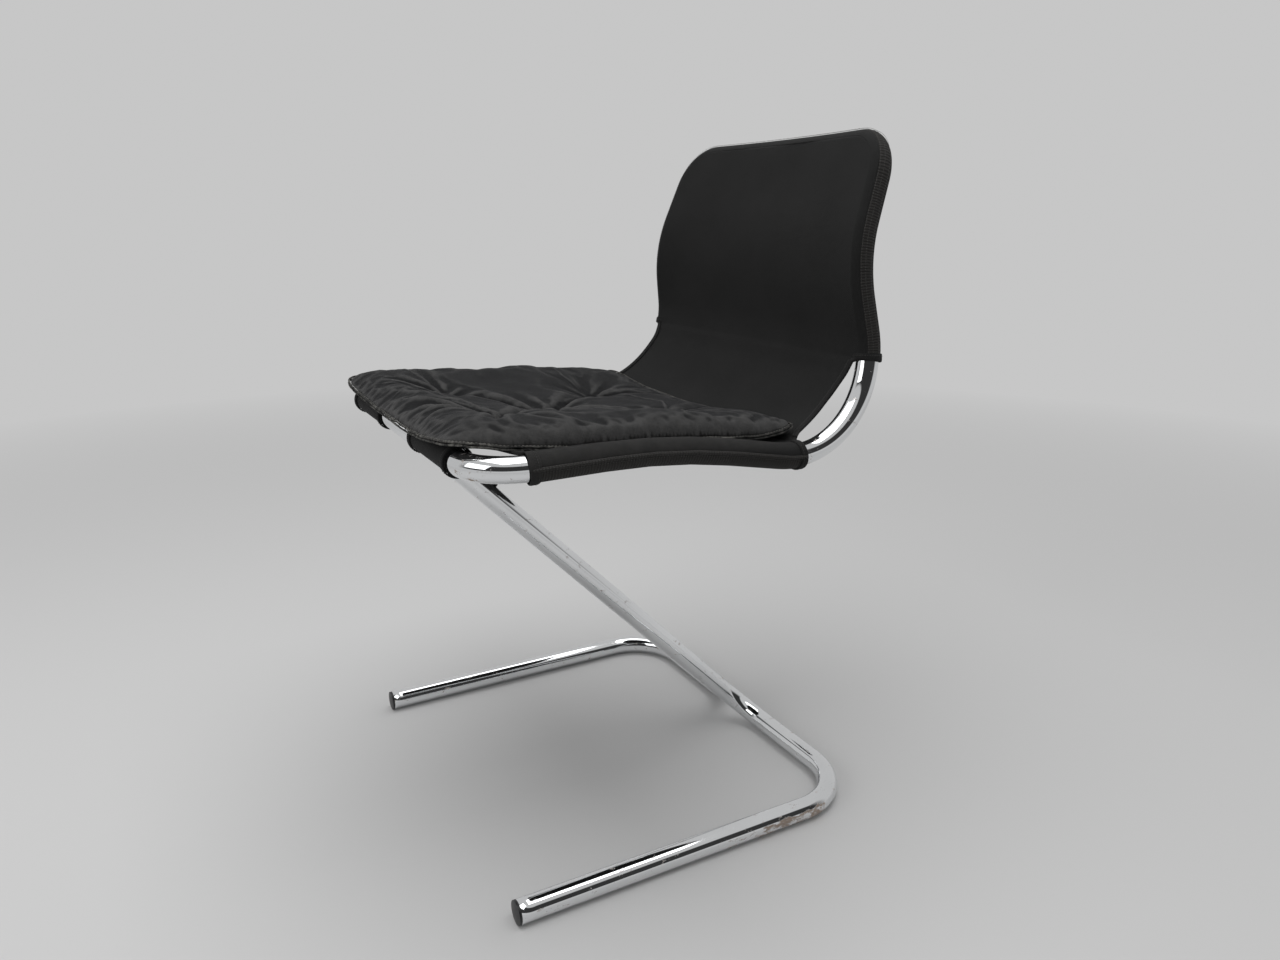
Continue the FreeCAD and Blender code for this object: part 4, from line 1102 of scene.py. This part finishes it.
dressed = [
    (sling, "sling_canvas", ("seat_panel", "rear_curve_panel", "back_front_panel")),
    (rear, "sling_canvas", ("back_rear_panel",)),
    (band, "ribbed_canvas", ("left_back_sleeve", "right_back_sleeve", "top_back_sleeve")),
    (pad, "pad_cloth", ("pad_top_cover", "pad_filling", "pad_bottom_cover", "tuft_threads")),
    (seam, "pad_cloth", ("pad_edge_binding",)),
    (sling_stitches, "sling_canvas", ()),
    (seam_stitches, "sling_canvas", ()),
    (pad_stitches, "tuft_thread", ()),
]
for k, side in enumerate(("left", "right")):
    dressed += [
        (under[k], "ribbed_canvas", (side + "_side_sleeve",)),
        (front_wraps[k], "sling_canvas", (side + "_front_sleeve",)),
        (trim[side + "_sleeve_hems"], "sling_canvas", ()),
        (trim[side + "_side_seam"], "sling_canvas", (side + "_sleeve_welt",)),
        (trim[side + "_rear_binding"], "sling_canvas", (side + "_rear_edge_hem",)),
        (trim[side + "_corner_binding"], "sling_canvas", (side + "_corner_hem",)),
        (trim[side + "_tab_loop"], "black_webbing", (side + "_corner_tab",)),
    ]
for piece, slot, nodes in dressed:
    if nodes:
        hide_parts(*nodes)
    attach(piece, "root")

# Stage, lights and camera

PALE = 0.57
FLOOR_REACH = 30000
LIT_POINT = Vector((0, 0, 0.4))


def seen_or_mirrored(nodes):
    """1 for the rays that show the surroundings to the camera or in a gloss, 0 for the light."""
    return nodes.math("MAXIMUM", nodes.node("LightPath", "Is Camera Ray"), nodes.node("LightPath", "Is Glossy Ray"))


def floor_material():
    """A pale matt floor that runs into the background with no edge."""
    f = Finish("studio floor")
    where = f.coords()
    reach = f.node("VectorMath", "Value", {0: where}, operation="LENGTH")
    f.set(Base_Color=grey(PALE), Roughness=0.92, Specular_IOR_Level=0.1)
    far = f.product(f.span(reach, 1.0, 3.0), seen_or_mirrored(f))
    glow = f.node("Emission", 0, {"Color": grey(PALE)})
    f.tree.links.new(f.node("MixShader", 0, {0: far, 1: f.shader.outputs[0], 2: glow}), f.out.inputs["Surface"])
    return f.material


floor_corners = [(x * FLOOR_REACH, y * FLOOR_REACH, -0.3) for x, y in ((-1, -1), (1, -1), (1, 1), (-1, 1))]
floor = mesh_piece("floor", floor_corners, [(0, 1, 2, 3)], floor_material())

world = bpy.data.worlds.new("studio")
bpy.context.scene.world = world
world.use_nodes = True
air = Nodes(world.node_tree)
towards = air.coords("Generated")
side_on = air.node("VectorMath", "Value", {0: towards, 1: (0.89, -0.45, 0.0)}, operation="DOT_PRODUCT")
unlit_side = air.product(air.span(side_on, -0.05, 0.3), air.between(air.axis(towards, 2), 0.07, 0.6, 0.05))
mirrored_air = air.mix(air.product(unlit_side, 0.97), grey(PALE), grey(0.02))
shown_air = air.mix(air.node("LightPath", "Is Glossy Ray"), grey(PALE), mirrored_air)
every_air = air.mix(seen_or_mirrored(air), grey(0.5), shown_air)
sky = air.node("Background", 0, {"Color": every_air})
air.put(air.tree.nodes.new("ShaderNodeOutputWorld").inputs["Surface"], sky)


def soft_lamp(name, place, size, power):
    data = bpy.data.lights.new(name, "AREA")
    data.shape = "RECTANGLE"
    data.size, data.size_y = size
    data.energy = power
    lamp = placed(name, data)
    lamp.location = place
    lamp.rotation_euler = (LIT_POINT - Vector(place)).to_track_quat("-Z", "Y").to_euler()


soft_lamp("ceiling_panel", (0.0, 0.0, 2.6), (2.4, 2.4), 40)
soft_lamp("front_window", (0.3, -2.2, 1.5), (1.6, 1.2), 12)

camera_data = bpy.data.cameras.new("camera")
camera_data.sensor_width = 36.0
camera_data.lens = 26.15
camera_data.clip_end = 60.0
camera = placed("camera", camera_data)
camera.location = (0.9779, -0.4963, 0.6744)
camera.rotation_euler = Euler((math.radians(74.36), math.radians(0.07), math.radians(61.22)))
bpy.context.scene.camera = camera
bpy.context.scene.view_settings.view_transform = "Standard"

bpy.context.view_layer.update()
